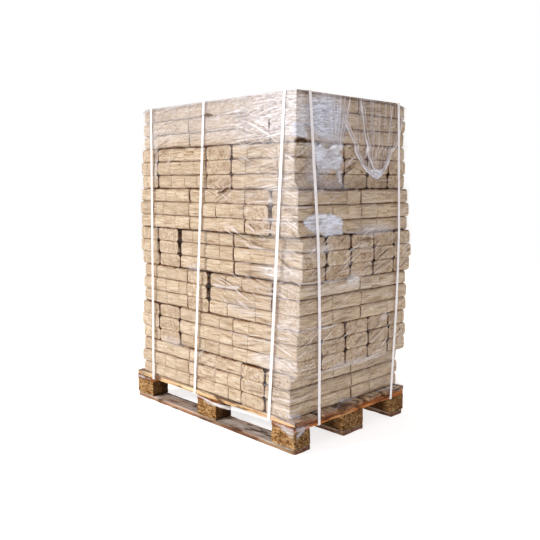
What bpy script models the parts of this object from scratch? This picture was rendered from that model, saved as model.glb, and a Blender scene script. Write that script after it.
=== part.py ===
"""A wooden four-way pallet loaded with packs of pressed wood briquettes.

Metres, +Z up. +X runs along the pallet's long side and +Y along its short side.
The origin is the middle of the pallet's underside.

Seven layers of packs stand on the pallet. A pack is three rows of bricks, one on another,
lying end to end along the pack. Layers are turned about so that their joints don't line up.
Stretch film is wound round the load, and five plastic straps tie it to the pallet.
"""
import random

import bmesh
import bpy
from mathutils import Vector

# Pallet
PALLET_LENGTH = 1.2
PALLET_WIDTH = 0.8
BOARD_THICKNESS = 0.022
WIDE_BOARD = 0.145
NARROW_BOARD = 0.1
BLOCK_HEIGHT = 0.078
DECK_BOARDS = (WIDE_BOARD, NARROW_BOARD, WIDE_BOARD, NARROW_BOARD, WIDE_BOARD)
WOOD_CHAMFER = 0.002
CORNER_CUT = 0.012
DECK_TOP = 3 * BOARD_THICKNESS + BLOCK_HEIGHT

# Parts that touch keep this gap
REST_GAP = 0.0003

# Load
LAYER_PITCH = 0.1990
ROWS_PER_PACK = 3
BRICK_ROUNDING = 0.009
PACK_GAP = 0.009
GAP_DEPTH = 0.030
CORE_RECESS = 0.0005
ROW_OVERLAP = 0.0005
ROW_SHRINK = (0.0008, 0.0045)
TOP_GAP_DEPTH = 0.022

# Each layer, from the pallet up: its lowest and highest Y, then its columns of packs as
# (kind, lowest X, highest X). In an L column five packs lie along X. In a C column two
# packs lie across, along Y.
LAYERS = (
    (-0.400, 0.392,
     (("L", -0.550, -0.150), ("L", -0.140, 0.245), ("C", 0.255, 0.404), ("C", 0.416, 0.570))),
    (-0.395, 0.401,
     (("C", -0.557, -0.404), ("C", -0.394, -0.230), ("L", -0.216, 0.182), ("L", 0.191, 0.607))),
    (-0.393, 0.391,
     (("L", -0.540, -0.164), ("C", -0.156, -0.003), ("L", 0.022, 0.443), ("C", 0.454, 0.618))),
    (-0.380, 0.412,
     (("C", -0.575, -0.421), ("C", -0.399, -0.244), ("L", -0.217, 0.172), ("L", 0.187, 0.622))),
    (-0.400, 0.402,
     (("L", -0.543, -0.132), ("L", -0.120, 0.273), ("C", 0.282, 0.435), ("C", 0.454, 0.612))),
    (-0.395, 0.402,
     (("C", -0.532, -0.390), ("L", -0.379, -0.010), ("C", 0.020, 0.182), ("L", 0.194, 0.585))),
    (-0.400, 0.371,
     (("L", -0.498, -0.122), ("L", -0.110, 0.274), ("C", 0.284, 0.438), ("C", 0.446, 0.600))),
)
PACK_SHARES = {"L": (1.00, 1.05, 1.05, 0.99, 0.91), "C": (1.07, 0.93)}

# Film
FILM_THICKNESS = 0.0006
FILM_CLEARANCE = 0.0004
FILM_BOTTOM = DECK_TOP - 0.020
FILM_LIP = 0.070
FILM_HOLD = 0.004
FILM_EASE = 0.030

# Straps: where each runs under the deck and where it crosses the top of the load
STRAP_WIDTH = 0.016
STRAP_THICKNESS = 0.0012
STRAP_CLEARANCE = 0.0004
CROSS_STRAPS = ((-0.445, -0.415), (-0.090, 0.010), (0.442, 0.535))
LONG_STRAPS = ((-0.245, -0.320), (0.288, 0.300))

# Colours, roughness and metallic values
MATERIALS = {
    "deck_wood": ((0.55, 0.30, 0.12), 0.75),
    "block_wood": ((0.38, 0.22, 0.09), 0.9),
    "briquette_wood": ((0.72, 0.56, 0.38), 0.85),
    "stretch_film": ((0.85, 0.86, 0.9), 0.2),
    "strap_plastic": ((0.86, 0.85, 0.84), 0.4),
}


def clear_scene():
    """Remove what the scene holds."""
    for obj in list(bpy.data.objects):
        bpy.data.objects.remove(obj, do_unlink=True)


def new_collection(name):
    """A new collection in the scene."""
    group = bpy.data.collections.new(name)
    bpy.context.scene.collection.children.link(group)
    return group


def new_material(name):
    """A Principled BSDF material from the table above."""
    colour, roughness = MATERIALS[name]
    material = bpy.data.materials.new(name)
    material.use_nodes = True
    shader = material.node_tree.nodes["Principled BSDF"]
    shader.inputs["Base Color"].default_value = (*colour, 1.0)
    shader.inputs["Roughness"].default_value = roughness
    shader.inputs["Metallic"].default_value = 0.0
    return material


def new_object(name, bm, group, material):
    """Turn a bmesh into an object of the group."""
    mesh = bpy.data.meshes.new(name)
    bm.to_mesh(mesh)
    bm.free()
    obj = bpy.data.objects.new(name, mesh)
    obj.data.materials.append(material)
    group.objects.link(obj)
    return obj


def add_block(bm, low, high):
    """Add a box between two corners, and return its vertices."""
    low, high = Vector(low), Vector(high)
    verts = bmesh.ops.create_cube(bm, size=1.0)["verts"]
    bmesh.ops.scale(bm, vec=high - low, verts=verts)
    bmesh.ops.translate(bm, vec=(low + high) / 2, verts=verts)
    return verts


def edges_along(bm, verts, axis):
    """The edges between these vertices that run along one axis (0, 1 or 2)."""
    members = set(verts)
    found = []
    for edge in bm.edges:
        start, end = edge.verts
        if start in members and end in members:
            step = end.co - start.co
            if abs(step[axis]) > 0.99 * step.length:
                found.append(edge)
    return found


# The pallet

def add_wood(name, low, high, group, material):
    """A board or block with its edges broken."""
    bm = bmesh.new()
    add_block(bm, low, high)
    obj = new_object(name, bm, group, material)
    bevel = obj.modifiers.new("broken_edges", "BEVEL")
    bevel.width = WOOD_CHAMFER
    bevel.segments = 1
    return obj


def add_bottom_board(name, middle, width, group, material):
    """A bottom board. The outer ones have their outer corners cut off."""
    half = PALLET_LENGTH / 2
    bm = bmesh.new()
    verts = add_block(bm, (-half, middle - width / 2, 0), (half, middle + width / 2, BOARD_THICKNESS))
    if middle != 0:
        uprights = edges_along(bm, verts, 2)
        outer = [edge for edge in uprights if abs(edge.verts[0].co.y) > PALLET_WIDTH / 2 - 0.001]
        bmesh.ops.bevel(bm, geom=outer, offset=CORNER_CUT, segments=1, affect="EDGES")
    obj = new_object(name, bm, group, material)
    bevel = obj.modifiers.new("broken_edges", "BEVEL")
    bevel.width = WOOD_CHAMFER
    bevel.segments = 1
    return obj


def build_pallet(group, boards, blocks):
    """Three bottom boards, nine blocks, three stringer boards and five deck boards."""
    half_x, half_y = PALLET_LENGTH / 2, PALLET_WIDTH / 2
    row_middles = (-half_y + NARROW_BOARD / 2, 0.0, half_y - NARROW_BOARD / 2)
    row_widths = (NARROW_BOARD, WIDE_BOARD, NARROW_BOARD)
    column_middles = (-half_x + WIDE_BOARD / 2, 0.0, half_x - WIDE_BOARD / 2)
    block_low = BOARD_THICKNESS + REST_GAP
    block_high = BOARD_THICKNESS + BLOCK_HEIGHT
    half = WIDE_BOARD / 2
    for row, (y, width) in enumerate(zip(row_middles, row_widths), 1):
        add_bottom_board("bottom_board_%d" % row, y, width, group, boards)
        for column, x in enumerate(column_middles, 1):
            low = (x - half, y - width / 2, block_low)
            high = (x + half, y + width / 2, block_high)
            add_wood("block_%d_%d" % (row, column), low, high, group, blocks)
    for column, x in enumerate(column_middles, 1):
        low = (x - half, -half_y, block_high + REST_GAP)
        high = (x + half, half_y, block_high + BOARD_THICKNESS)
        add_wood("stringer_board_%d" % column, low, high, group, boards)
    build_deck(group, boards)


def build_deck(group, boards):
    """Five boards along X, wide and narrow by turns."""
    half_x, half_y = PALLET_LENGTH / 2, PALLET_WIDTH / 2
    gap = (PALLET_WIDTH - sum(DECK_BOARDS)) / (len(DECK_BOARDS) - 1)
    y = -half_y
    for number, width in enumerate(DECK_BOARDS, 1):
        low = (-half_x, y, DECK_TOP - BOARD_THICKNESS + REST_GAP)
        add_wood("deck_board_%d" % number, low, (half_x, y + width, DECK_TOP), group, boards)
        y += width + gap


# The load

def layer_heights(index):
    """The lowest and highest Z of a layer."""
    low = DECK_TOP + REST_GAP + index * LAYER_PITCH
    return low, low + LAYER_PITCH - REST_GAP


def plan_of(index):
    """A layer's lowest and highest X and Y."""
    y_low, y_high, columns = LAYERS[index]
    return columns[0][1], columns[-1][2], y_low, y_high


def packs_of(index):
    """Every pack of a layer as (kind, x_low, x_high, y_low, y_high)."""
    y_low, y_high, columns = LAYERS[index]
    packs = []
    for kind, x0, x1 in columns:
        shares = PACK_SHARES[kind]
        unit = (y_high - y_low - (len(shares) - 1) * PACK_GAP) / sum(shares)
        y = y_low
        for share in shares:
            packs.append((kind, x0, x1, y, y + share * unit))
            y += share * unit + PACK_GAP
    return packs


def shows(index, pack):
    """Whether a pack reaches a side of its layer. On the top layer every pack shows."""
    if index == len(LAYERS) - 1:
        return True
    near = 0.001
    return any(abs(side - limit) < near for side, limit in zip(pack[1:], plan_of(index)))


def row_shrink(index, number, row):
    """How far one row of a pack stands back from the pack's own box."""
    if row == 1:
        return 0.0
    return random.Random(1000 * index + 10 * number + row).uniform(*ROW_SHRINK)


def add_row(bm, pack, shrink, z_low, z_high):
    """One row of bricks, its corners rounded along its length."""
    kind, x0, x1, y0, y1 = pack
    low = (x0 + shrink, y0 + shrink, z_low)
    high = (x1 - shrink, y1 - shrink, z_high)
    verts = add_block(bm, low, high)
    edges = edges_along(bm, verts, 0 if kind == "L" else 1)
    bmesh.ops.bevel(bm, geom=edges, offset=BRICK_ROUNDING, segments=1, affect="EDGES")


def layer_rows(index, row, group, material):
    """All the bricks of one row of a layer, as a helper that is joined to the layer."""
    z_low, z_high = layer_heights(index)
    height = (z_high - z_low) / ROWS_PER_PACK
    low = z_low + row * height
    high = low + height
    if row < ROWS_PER_PACK - 1:
        high += ROW_OVERLAP
    bm = bmesh.new()
    for number, pack in enumerate(packs_of(index)):
        if shows(index, pack):
            add_row(bm, pack, row_shrink(index, number, row), low, high)
    helper = new_object("rows_%d_%d" % (index + 1, row + 1), bm, group, material)
    helper.hide_render = True
    helper.display_type = "WIRE"
    return helper


def add_layer(index, group, helpers, material):
    """One layer of packs: a core, and the rows of bricks that stand out from it."""
    x0, x1, y0, y1 = plan_of(index)
    z_low, z_high = layer_heights(index)
    recess = TOP_GAP_DEPTH if index == len(LAYERS) - 1 else CORE_RECESS
    bm = bmesh.new()
    low = (x0 + GAP_DEPTH, y0 + GAP_DEPTH, z_low + CORE_RECESS)
    add_block(bm, low, (x1 - GAP_DEPTH, y1 - GAP_DEPTH, z_high - recess))
    layer = new_object("pack_layer_%d" % (index + 1), bm, group, material)
    for row in range(ROWS_PER_PACK):
        join = layer.modifiers.new("row_%d" % (row + 1), "BOOLEAN")
        join.operation = "UNION"
        join.solver = "EXACT"
        join.object = layer_rows(index, row, helpers, material)
    return layer


# The film

def widened(plan, margin):
    """A plan grown by a margin on every side."""
    return (plan[0] - margin, plan[1] + margin, plan[2] - margin, plan[3] + margin)


def joined(first, second):
    """The plan that holds two plans."""
    return (min(first[0], second[0]), max(first[1], second[1]),
            min(first[2], second[2]), max(first[3], second[3]))


def film_rings():
    """The film's inner side from bottom to top, as (plan, z)."""
    deck = (-PALLET_LENGTH / 2, PALLET_LENGTH / 2, -PALLET_WIDTH / 2, PALLET_WIDTH / 2)
    rings = [(deck, FILM_BOTTOM), (deck, DECK_TOP + FILM_CLEARANCE)]
    last = len(LAYERS) - 1
    for index in range(len(LAYERS)):
        plan = plan_of(index)
        z_low, z_high = layer_heights(index)
        if index > 0:
            both = joined(plan, plan_of(index - 1))
            rings.append((both, z_low + FILM_HOLD))
        rings.append((plan, z_low + FILM_EASE))
        if index < last:
            rings.append((plan, z_high - FILM_EASE))
            rings.append((joined(plan, plan_of(index + 1)), z_high - FILM_HOLD))
    rings.append((plan_of(last), layer_heights(last)[1] + FILM_CLEARANCE))
    return [(widened(plan, FILM_CLEARANCE), z) for plan, z in rings]


def ring_corners(plan, z):
    """The four corners of a ring, anticlockwise from above."""
    x0, x1, y0, y1 = plan
    return [(x0, y0, z), (x1, y0, z), (x1, y1, z), (x0, y1, z)]


def add_film(group, material):
    """The film wound round the load, with a lip folded in over the top."""
    rings = film_rings()
    top_plan, top_z = rings[-1]
    rings.append((widened(top_plan, -FILM_LIP), top_z))
    bm = bmesh.new()
    loops = [[bm.verts.new(point) for point in ring_corners(plan, z)] for plan, z in rings]
    for lower, upper in zip(loops, loops[1:]):
        for side in range(4):
            after = (side + 1) % 4
            bm.faces.new((lower[side], lower[after], upper[after], upper[side]))
    film = new_object("stretch_film", bm, group, material)
    solidify = film.modifiers.new("thickness", "SOLIDIFY")
    solidify.thickness = FILM_THICKNESS
    solidify.offset = 1.0
    solidify.use_even_offset = True
    return film


# The straps

def turn(a, b, c):
    """Positive where a, b, c turn left."""
    return (b[0] - a[0]) * (c[1] - a[1]) - (b[1] - a[1]) * (c[0] - a[0])


def taut_loop(points):
    """The tight loop round a set of (u, z) points, anticlockwise."""
    points = sorted(set(points))
    halves = []
    for ordered in (points, points[::-1]):
        chain = []
        for point in ordered:
            while len(chain) > 1 and turn(chain[-2], chain[-1], point) <= 1e-9:
                chain.pop()
            chain.append(point)
        halves.append(chain[:-1])
    return halves[0] + halves[1]


def strap_section(first, half_width, bottom, lift):
    """What a strap is pulled round, seen along its axis: the load, the film and the deck."""
    margin = FILM_THICKNESS + STRAP_CLEARANCE
    reach = half_width + FILM_CLEARANCE + margin
    points = [(-reach, bottom), (reach, bottom)]
    for plan, z in film_rings():
        points.append((plan[first] - margin, z))
        points.append((plan[first + 1] + margin, z))
    top_plan, top_z = film_rings()[-1]
    points.append((top_plan[first] - margin, top_z + margin + lift))
    points.append((top_plan[first + 1] + margin, top_z + margin + lift))
    return taut_loop(points)


def add_strap(name, loop, along, at_bottom, at_top, group, material):
    """A flat band round a loop. along is the axis that the loop runs in: 0 or 1."""
    lowest = min(z for u, z in loop)
    highest = max(z for u, z in loop)
    bm = bmesh.new()
    sides = []
    for u, z in loop:
        middle = at_bottom + (at_top - at_bottom) * (z - lowest) / (highest - lowest)
        pair = []
        for edge in (middle - STRAP_WIDTH / 2, middle + STRAP_WIDTH / 2):
            pair.append(bm.verts.new((u, edge, z) if along == 0 else (edge, u, z)))
        sides.append(pair)
    for start, end in zip(sides, sides[1:] + sides[:1]):
        bm.faces.new((start[0], end[0], end[1], start[1]))
    if along == 0:
        bmesh.ops.reverse_faces(bm, faces=bm.faces[:])
    strap = new_object(name, bm, group, material)
    solidify = strap.modifiers.new("thickness", "SOLIDIFY")
    solidify.thickness = STRAP_THICKNESS
    solidify.offset = 1.0
    solidify.use_even_offset = True
    return strap


def build_straps(group, material):
    """Three straps across the pallet and two along it, laid over the first three."""
    below_deck = DECK_TOP - BOARD_THICKNESS + REST_GAP - STRAP_CLEARANCE
    below_stringers = BOARD_THICKNESS + BLOCK_HEIGHT + REST_GAP - STRAP_CLEARANCE
    across = strap_section(2, PALLET_WIDTH / 2, below_deck, 0.0)
    lift = STRAP_THICKNESS + STRAP_CLEARANCE
    lengthwise = strap_section(0, PALLET_LENGTH / 2, below_stringers, lift)
    for number, (low, high) in enumerate(CROSS_STRAPS, 1):
        add_strap("cross_strap_%d" % number, across, 1, low, high, group, material)
    for number, (low, high) in enumerate(LONG_STRAPS, 1):
        add_strap("long_strap_%d" % number, lengthwise, 0, low, high, group, material)


def build():
    """The pallet, the load, the film and the straps."""
    clear_scene()
    parts = new_collection("briquette_pallet")
    helpers = new_collection("helpers")
    materials = {name: new_material(name) for name in MATERIALS}
    build_pallet(parts, materials["deck_wood"], materials["block_wood"])
    for index in range(len(LAYERS)):
        add_layer(index, parts, helpers, materials["briquette_wood"])
    add_film(parts, materials["stretch_film"])
    build_straps(parts, materials["strap_plastic"])


build()
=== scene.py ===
"""The looks of a wooden pallet loaded with packs of pressed wood briquettes.

Everything is in metres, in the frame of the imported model: +X along the pallet's long side,
+Y along its short side, +Z up. The camera sees the long side at -Y and the short side at +X.
"""

import math
import random

import bpy
import numpy as np
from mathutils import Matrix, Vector


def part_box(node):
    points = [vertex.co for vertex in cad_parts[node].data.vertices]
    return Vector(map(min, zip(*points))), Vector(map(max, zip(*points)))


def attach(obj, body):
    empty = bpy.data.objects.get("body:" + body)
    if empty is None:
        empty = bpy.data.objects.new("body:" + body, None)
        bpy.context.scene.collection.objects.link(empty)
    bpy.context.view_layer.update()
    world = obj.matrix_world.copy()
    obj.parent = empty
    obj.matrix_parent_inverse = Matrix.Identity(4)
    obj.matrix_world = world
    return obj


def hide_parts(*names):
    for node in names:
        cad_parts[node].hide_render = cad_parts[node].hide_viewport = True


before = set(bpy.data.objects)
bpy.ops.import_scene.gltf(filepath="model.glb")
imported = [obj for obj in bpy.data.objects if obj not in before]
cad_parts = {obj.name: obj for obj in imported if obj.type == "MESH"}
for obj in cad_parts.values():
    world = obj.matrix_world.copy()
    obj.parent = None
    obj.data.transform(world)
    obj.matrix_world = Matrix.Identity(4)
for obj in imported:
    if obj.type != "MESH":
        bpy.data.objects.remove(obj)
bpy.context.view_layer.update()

# Camera: it stands off the corner between the long side and the short side
CAMERA_AZIMUTH = 46.19
CAMERA_DISTANCE = 3.501
CAMERA_HEIGHT = 1.156
CAMERA_TURN = -0.43
CAMERA_TILT = 7.16
CAMERA_LENS = 45.21
CAMERA_SEES = 60.0
SENSOR_WIDTH = 36.0

# Light
SUN_FROM = (-0.50, -1.0, 0.75)
SUN_STRENGTH = 2.1
SUN_SPREAD = 8.0
SUN_COLOUR = (1.0, 0.97, 0.93)
HORIZON = (0.165, 0.140, 0.130)
# Broad lamps: where each stands, the cosines where its light begins and is full, and its colour
LAMPS = (
    ((-0.20, -1.0, 0.40), 0.45, 0.95, (0.56, 0.55, 0.54)),
    ((0.0, 0.0, 1.0), 0.15, 0.90, (0.42, 0.42, 0.43)),
    ((1.0, -0.20, 0.35), 0.45, 0.95, (0.106, 0.072, 0.056)),
    ((-1.0, 0.30, 0.30), 0.50, 0.95, (0.24, 0.23, 0.22)),
    ((0.10, 1.0, 0.40), 0.50, 0.95, (0.18, 0.19, 0.21)),
)
FLOOR_SIZE = 14.0
FLOOR_COLOUR = (0.50, 0.50, 0.50)
FLOOR_GLOW = 0.76
WHITE = (1.0, 1.0, 1.0)

# The load, as it stands on the pallet
DECK_TOP = 0.144
REST_GAP = 0.0003
LAYER_PITCH = 0.1990
ROWS_PER_PACK = 3
BRICKS_PER_ROW = 4
PACK_GAP = 0.009
PACK_SHARES = {"L": (1.00, 1.05, 1.05, 0.99, 0.91), "C": (1.07, 0.93)}

# Each layer from the pallet up: its lowest and highest Y, then its columns of packs as
# (kind, lowest X, highest X). Packs of an L column lie along X, of a C column along Y.
LAYERS = (
    (-0.400, 0.392,
     (("L", -0.550, -0.150), ("L", -0.140, 0.245), ("C", 0.255, 0.404), ("C", 0.416, 0.570))),
    (-0.395, 0.401,
     (("C", -0.557, -0.404), ("C", -0.394, -0.230), ("L", -0.216, 0.182), ("L", 0.191, 0.607))),
    (-0.393, 0.391,
     (("L", -0.540, -0.164), ("C", -0.156, -0.003), ("L", 0.022, 0.443), ("C", 0.454, 0.618))),
    (-0.380, 0.412,
     (("C", -0.575, -0.421), ("C", -0.399, -0.244), ("L", -0.217, 0.172), ("L", 0.187, 0.622))),
    (-0.400, 0.402,
     (("L", -0.543, -0.132), ("L", -0.120, 0.273), ("C", 0.282, 0.435), ("C", 0.454, 0.612))),
    (-0.395, 0.402,
     (("C", -0.532, -0.390), ("L", -0.379, -0.010), ("C", 0.020, 0.182), ("L", 0.194, 0.585))),
    (-0.400, 0.371,
     (("L", -0.498, -0.122), ("L", -0.110, 0.274), ("C", 0.284, 0.438), ("C", 0.446, 0.600))),
)

TOP_LAYER = len(LAYERS) - 1
AT_EDGE = 0.001

# How far the load leans in and sags here and there, and the height from which its sag fades out.
# Then how its top sags at the long side's far end and at the hidden corner, and how at the short
# side's far end: how far, how far along the load, and the heights where that begins and is full.
LEAN = 0.0055
SAG = 0.0050
SAG_ENDS = 1.38
CORNER_SAG = 0.013
CORNER_REACH = 0.065
FAR_SAG = 0.016
FAR_REACH = 0.10
CORNER_SAG_HEIGHTS = (1.40, 1.53)

# Bricks
BRICK_CORNER = 0.0145
BRICK_INSET = 0.0012
BRICK_UNEVEN = 0.0006
BRICK_TILT = 0.008
BRICK_NARROWER = 0.0016
ROW_SHRINK = (0.0008, 0.0065)
END_SHORTER = 0.0008
END_CHAMFER = 0.0030
# A brick's end edge, as shares of its chamfer: how far along and how far in. Its rings between the
# two ends, as shares of its length.
CHAMFER_PROFILE = ((0.0, 1.3), (0.3, 0.4), (1.0, 0.0))
MIDDLE_RINGS = (-0.36, 0.0, 0.36)
# How much the bricks of a row differ in length, and how far from the row's ends a seam has to be
BRICK_SHARES = (0.86, 1.14)
SEAM_MARGIN = 0.03

# The painted shade in the hollows between bricks: how far it reaches into a brick between rows, between
# layers and at its ends, as a share of the chamfer and a least reach
GROOVE_REACH = 0.0036
LAYER_REACH = 0.0056
END_REACH = (0.55, 0.0003)
# How dark the painted shade is between rows on the long and on the short side, between layers, and
# on the lit wall of a gap that is open
ROW_LINE = (0.34, 0.82)
ROW_LINE_SHORT = (0.48, 0.96)
LAYER_LINE = 0.90
LIT_WALL = 0.72

# Joints between bricks, from not to be seen, through light and middling, to dark: how wide each
# is left on both sides, how far its edges are broken, and how dark the painted shade in it is
JOINTS = {"n": (0.0, 0.0003, 0.0), "l": (0.0001, 0.0010, 0.55), "m": (0.0002, 0.0016, 0.8),
          "d": (0.0008, 0.0026, 1.0)}
JOINT_CHANCES = "nnnnnllllmmd"

# Where joints show in the rows of each layer, from the pallet up and from the lowest row up
LONG_SEAMS = (
    (((-0.362, "l"), (-0.257, "l"), (0.158, "d")),
     ((-0.342, "m"), (-0.252, "m"), (0.158, "d")),
     ((-0.337, "l"), (-0.247, "l"), (-0.052, "m"), (0.063, "l"))),
    (((0.083, "d"), (0.288, "l")),
     ((0.093, "l"), (0.293, "l"), (0.398, "l")),
     ((-0.062, "l"), (0.088, "l"), (0.298, "m"))),
    (((-0.332, "l"), (-0.227, "l"), (0.143, "d"), (0.338, "m")),
     ((-0.337, "m"), (-0.227, "m"), (0.215, "m"), (0.343, "m")),
     ((0.138, "m"), (0.248, "m"))),
    (((-0.032, "m"), (0.083, "m"), (0.293, "l"), (0.413, "d")),
     ((0.083, "m"), (0.393, "m")),
     ((0.078, "m"), (0.373, "m"))),
    (((-0.242, "m"),), ((-0.397, "l"), (0.078, "d")), ((-0.317, "m"), (-0.007, "m"))),
    (((-0.277, "m"), (-0.167, "m"), (-0.067, "l"), (0.278, "l"), (0.383, "l"), (0.483, "d")),
     ((0.283, "l"), (0.383, "m"), (0.483, "d")),
     ((0.288, "l"), (0.378, "l"), (0.473, "l"))),
    ((), ((0.008, "m"),), ()),
)
SHORT_SEAMS = (
    (((0.165, "l"),), ((0.165, "l"),), ((-0.315, "m"), (-0.205, "d"), (-0.100, "m"), (0.190, "m"))),
    ((), (), ()),
    (((-0.170, "m"), (0.130, "l"), (0.230, "d")), ((-0.180, "m"), (-0.065, "l")), ((0.165, "l"),)),
    ((), (), ()),
    (((-0.080, "l"), (0.145, "l")), ((-0.175, "m"), (-0.065, "l"), (0.145, "l")), ((-0.070, "l"),)),
    ((), (), ()),
    ((), (), ((0.285, "d"),)),
)

# How wide the bricks leave the gap between two packs: shut, thin, half open or open
GAP_LEFT = {"s": 0.0008, "t": 0.0030, "h": 0.0065, "o": 0.0300}
GAP_CHANCES = "ssttttho"

# The gaps that show in each layer, from the pallet up. A gap has a letter for each row, from
# the lowest up. They lie between columns on the long side and between packs on the short side.
LONG_GAPS = (
    ("tts", "sst", "hth"),
    ("tth", "tst", "sst"),
    ("sss", "too", "hhh"),
    ("hhs", "too", "hhh"),
    ("sso", "tss", "hoh"),
    ("sst", "thh", "sst"),
    ("sts", "tts", "tts"),
)
SHORT_GAPS = (
    ("ttt",),
    ("hhh", "ooh", "hht", "tss"),
    ("sst",),
    ("too", "hht", "tts", "sss"),
    ("sth",),
    ("ttt", "tss", "hss", "htt"),
    ("sst",),
)

# Wood
PALLET_HALF = (0.600, 0.400)
WOOD_EDGE = 0.0022
WOOD_CHIP = 0.0055
WOOD_MARGIN = 0.006
WOOD_ROUGH = 0.0009
WOOD_CELL = 0.013
# How dark the wood is, partly dirt and partly painted shade: inside the pallet (painted shade) on a
# board's top and elsewhere on it, a board's sawn ends, and the bottom boards. Then a block's sides, what its
# ends add (painted shade) and what its inner ends add (painted shade).
BOARD_DIRT_AND_SHADE = (0.08, 0.8, 0.25)
BOTTOM_DIRT_AND_SHADE = 0.52
BLOCK_DIRT_AND_SHADE = (0.12, 0.38, 0.28)
# The colour of the dirt and of the painted shade
DIRT_AND_SHADE_COLOUR = (0.030, 0.012, 0.005)
# How grey the top of a board is, and how rust brown the board is all over
BOTTOM_LOOK = (1.0, 0.65)
STRINGER_LOOK = (0.10, 0.95)
DECK_LOOK = (0.55, 0.10)
# The painted shade inside the pallet: from and to how deep it begins, and how far under the deck's top
INSIDE_DEPTH = (0.004, 0.070)
UNDER_DECK = (0.012, 0.004)
CORNER_CUT = 0.012
BLOCK_ROUGH = 0.0022
BLOCK_CELL = 0.0062
NAIL_RADIUS = 0.0042
NAIL_SPACING = 0.052
NAIL_OFF = (0.006, 0.005)
NAIL_ACROSS = 0.27
NAIL_RISE = 0.0002
NAIL_FOOT = -0.0010
NAIL_SIDES = 12

# The stretch film: how it follows the load
FILM_BOTTOM = DECK_TOP - 0.020
FILM_LIP = 0.070
FILM_HOLD = 0.004
FILM_EASE = 0.030
FILM_OFFSET = 0.0009
FILM_BEND = 0.060
FILM_CORNER = 0.004
# How far it stands out where it swells, in level creases, in steep creases and where it is
# gathered. The gathers begin at one height and are full at another.
FILM_RELIEF = (0.0006, 0.0017, 0.0016, 0.0016)
FILM_GATHER = (1.30, 1.50)
LIP_RIPPLE = 0.0016
# Its wavy lower edge, as shares of its hang below the deck's top: how far it is let down, and how
# far the wave then draws it up
HEM_DROP = 0.3
HEM_WAVE = 0.9
FILM_CELL = 0.009
FILMS_SEEN_THROUGH = 32
FILM_COLUMNS_LONG = 128
FILM_COLUMNS_SHORT = 88
LIP_STEPS = 9
FOLD_STEPS = 7
STRAPS_ON_LONG_SIDE = ((-0.445, -0.415), (-0.090, 0.010), (0.442, 0.535))
STRAPS_ON_SHORT_SIDE = ((-0.245, -0.320), (0.288, 0.300))
STRAP_REACH = 0.016
STRAP_PATTERN = 1500.0

# The packs' own film
PACK_FILM_EASE = 0.0002
PACK_FILM_CORNER = 0.010
PACK_FILM_CELL = 0.030
PACK_FILM_CREASE = 0.0016

# Loose pieces of film on the two sides that show. Outlines and paths are places as (along the
# side, up). A scrap is (side, milkiness, how soft its edge is, how far it stands out, outline).
SCRAP_CELL = 0.0048
SCRAP_LIFT = 0.0012
SCRAPS = (
    ("short", 0.92, 0.034, 0.002,
     ((-0.32, 1.325), (-0.285, 1.35), (-0.24, 1.362), (-0.2, 1.345), (-0.16, 1.365), (-0.115, 1.36),
      (-0.075, 1.345), (-0.062, 1.27), (-0.072, 1.2), (-0.074, 1.15), (-0.098, 1.118), (-0.13, 1.15),
      (-0.15, 1.19), (-0.19, 1.186), (-0.24, 1.19), (-0.275, 1.21), (-0.3, 1.26))),
    ("short", 0.88, 0.016, 0.0016,
     ((-0.385, 1.025), (-0.3, 1.052), (-0.18, 1.05), (-0.115, 1.032), (-0.1, 0.99), (-0.105, 0.938),
      (-0.17, 0.925), (-0.25, 0.93), (-0.31, 0.945), (-0.37, 0.975))),
    ("short", 0.8, 0.016, 0.002,
     ((-0.43, 1.43), (-0.36, 1.42), (-0.33, 1.38), (-0.325, 1.34), (-0.38, 1.335), (-0.44, 1.345))),
    ("short", 0.98, 0.008, 0.006,
     ((0.07, 1.262), (0.115, 1.232), (0.15, 1.24), (0.185, 1.234), (0.232, 1.262), (0.205, 1.196),
      (0.165, 1.172), (0.12, 1.19))),
    ("long", 0.58, 0.014, 0.002,
     ((0.425, 1.115), (0.455, 1.122), (0.485, 1.105), (0.48, 1.075), (0.45, 1.068), (0.43, 1.085))),
)

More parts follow.
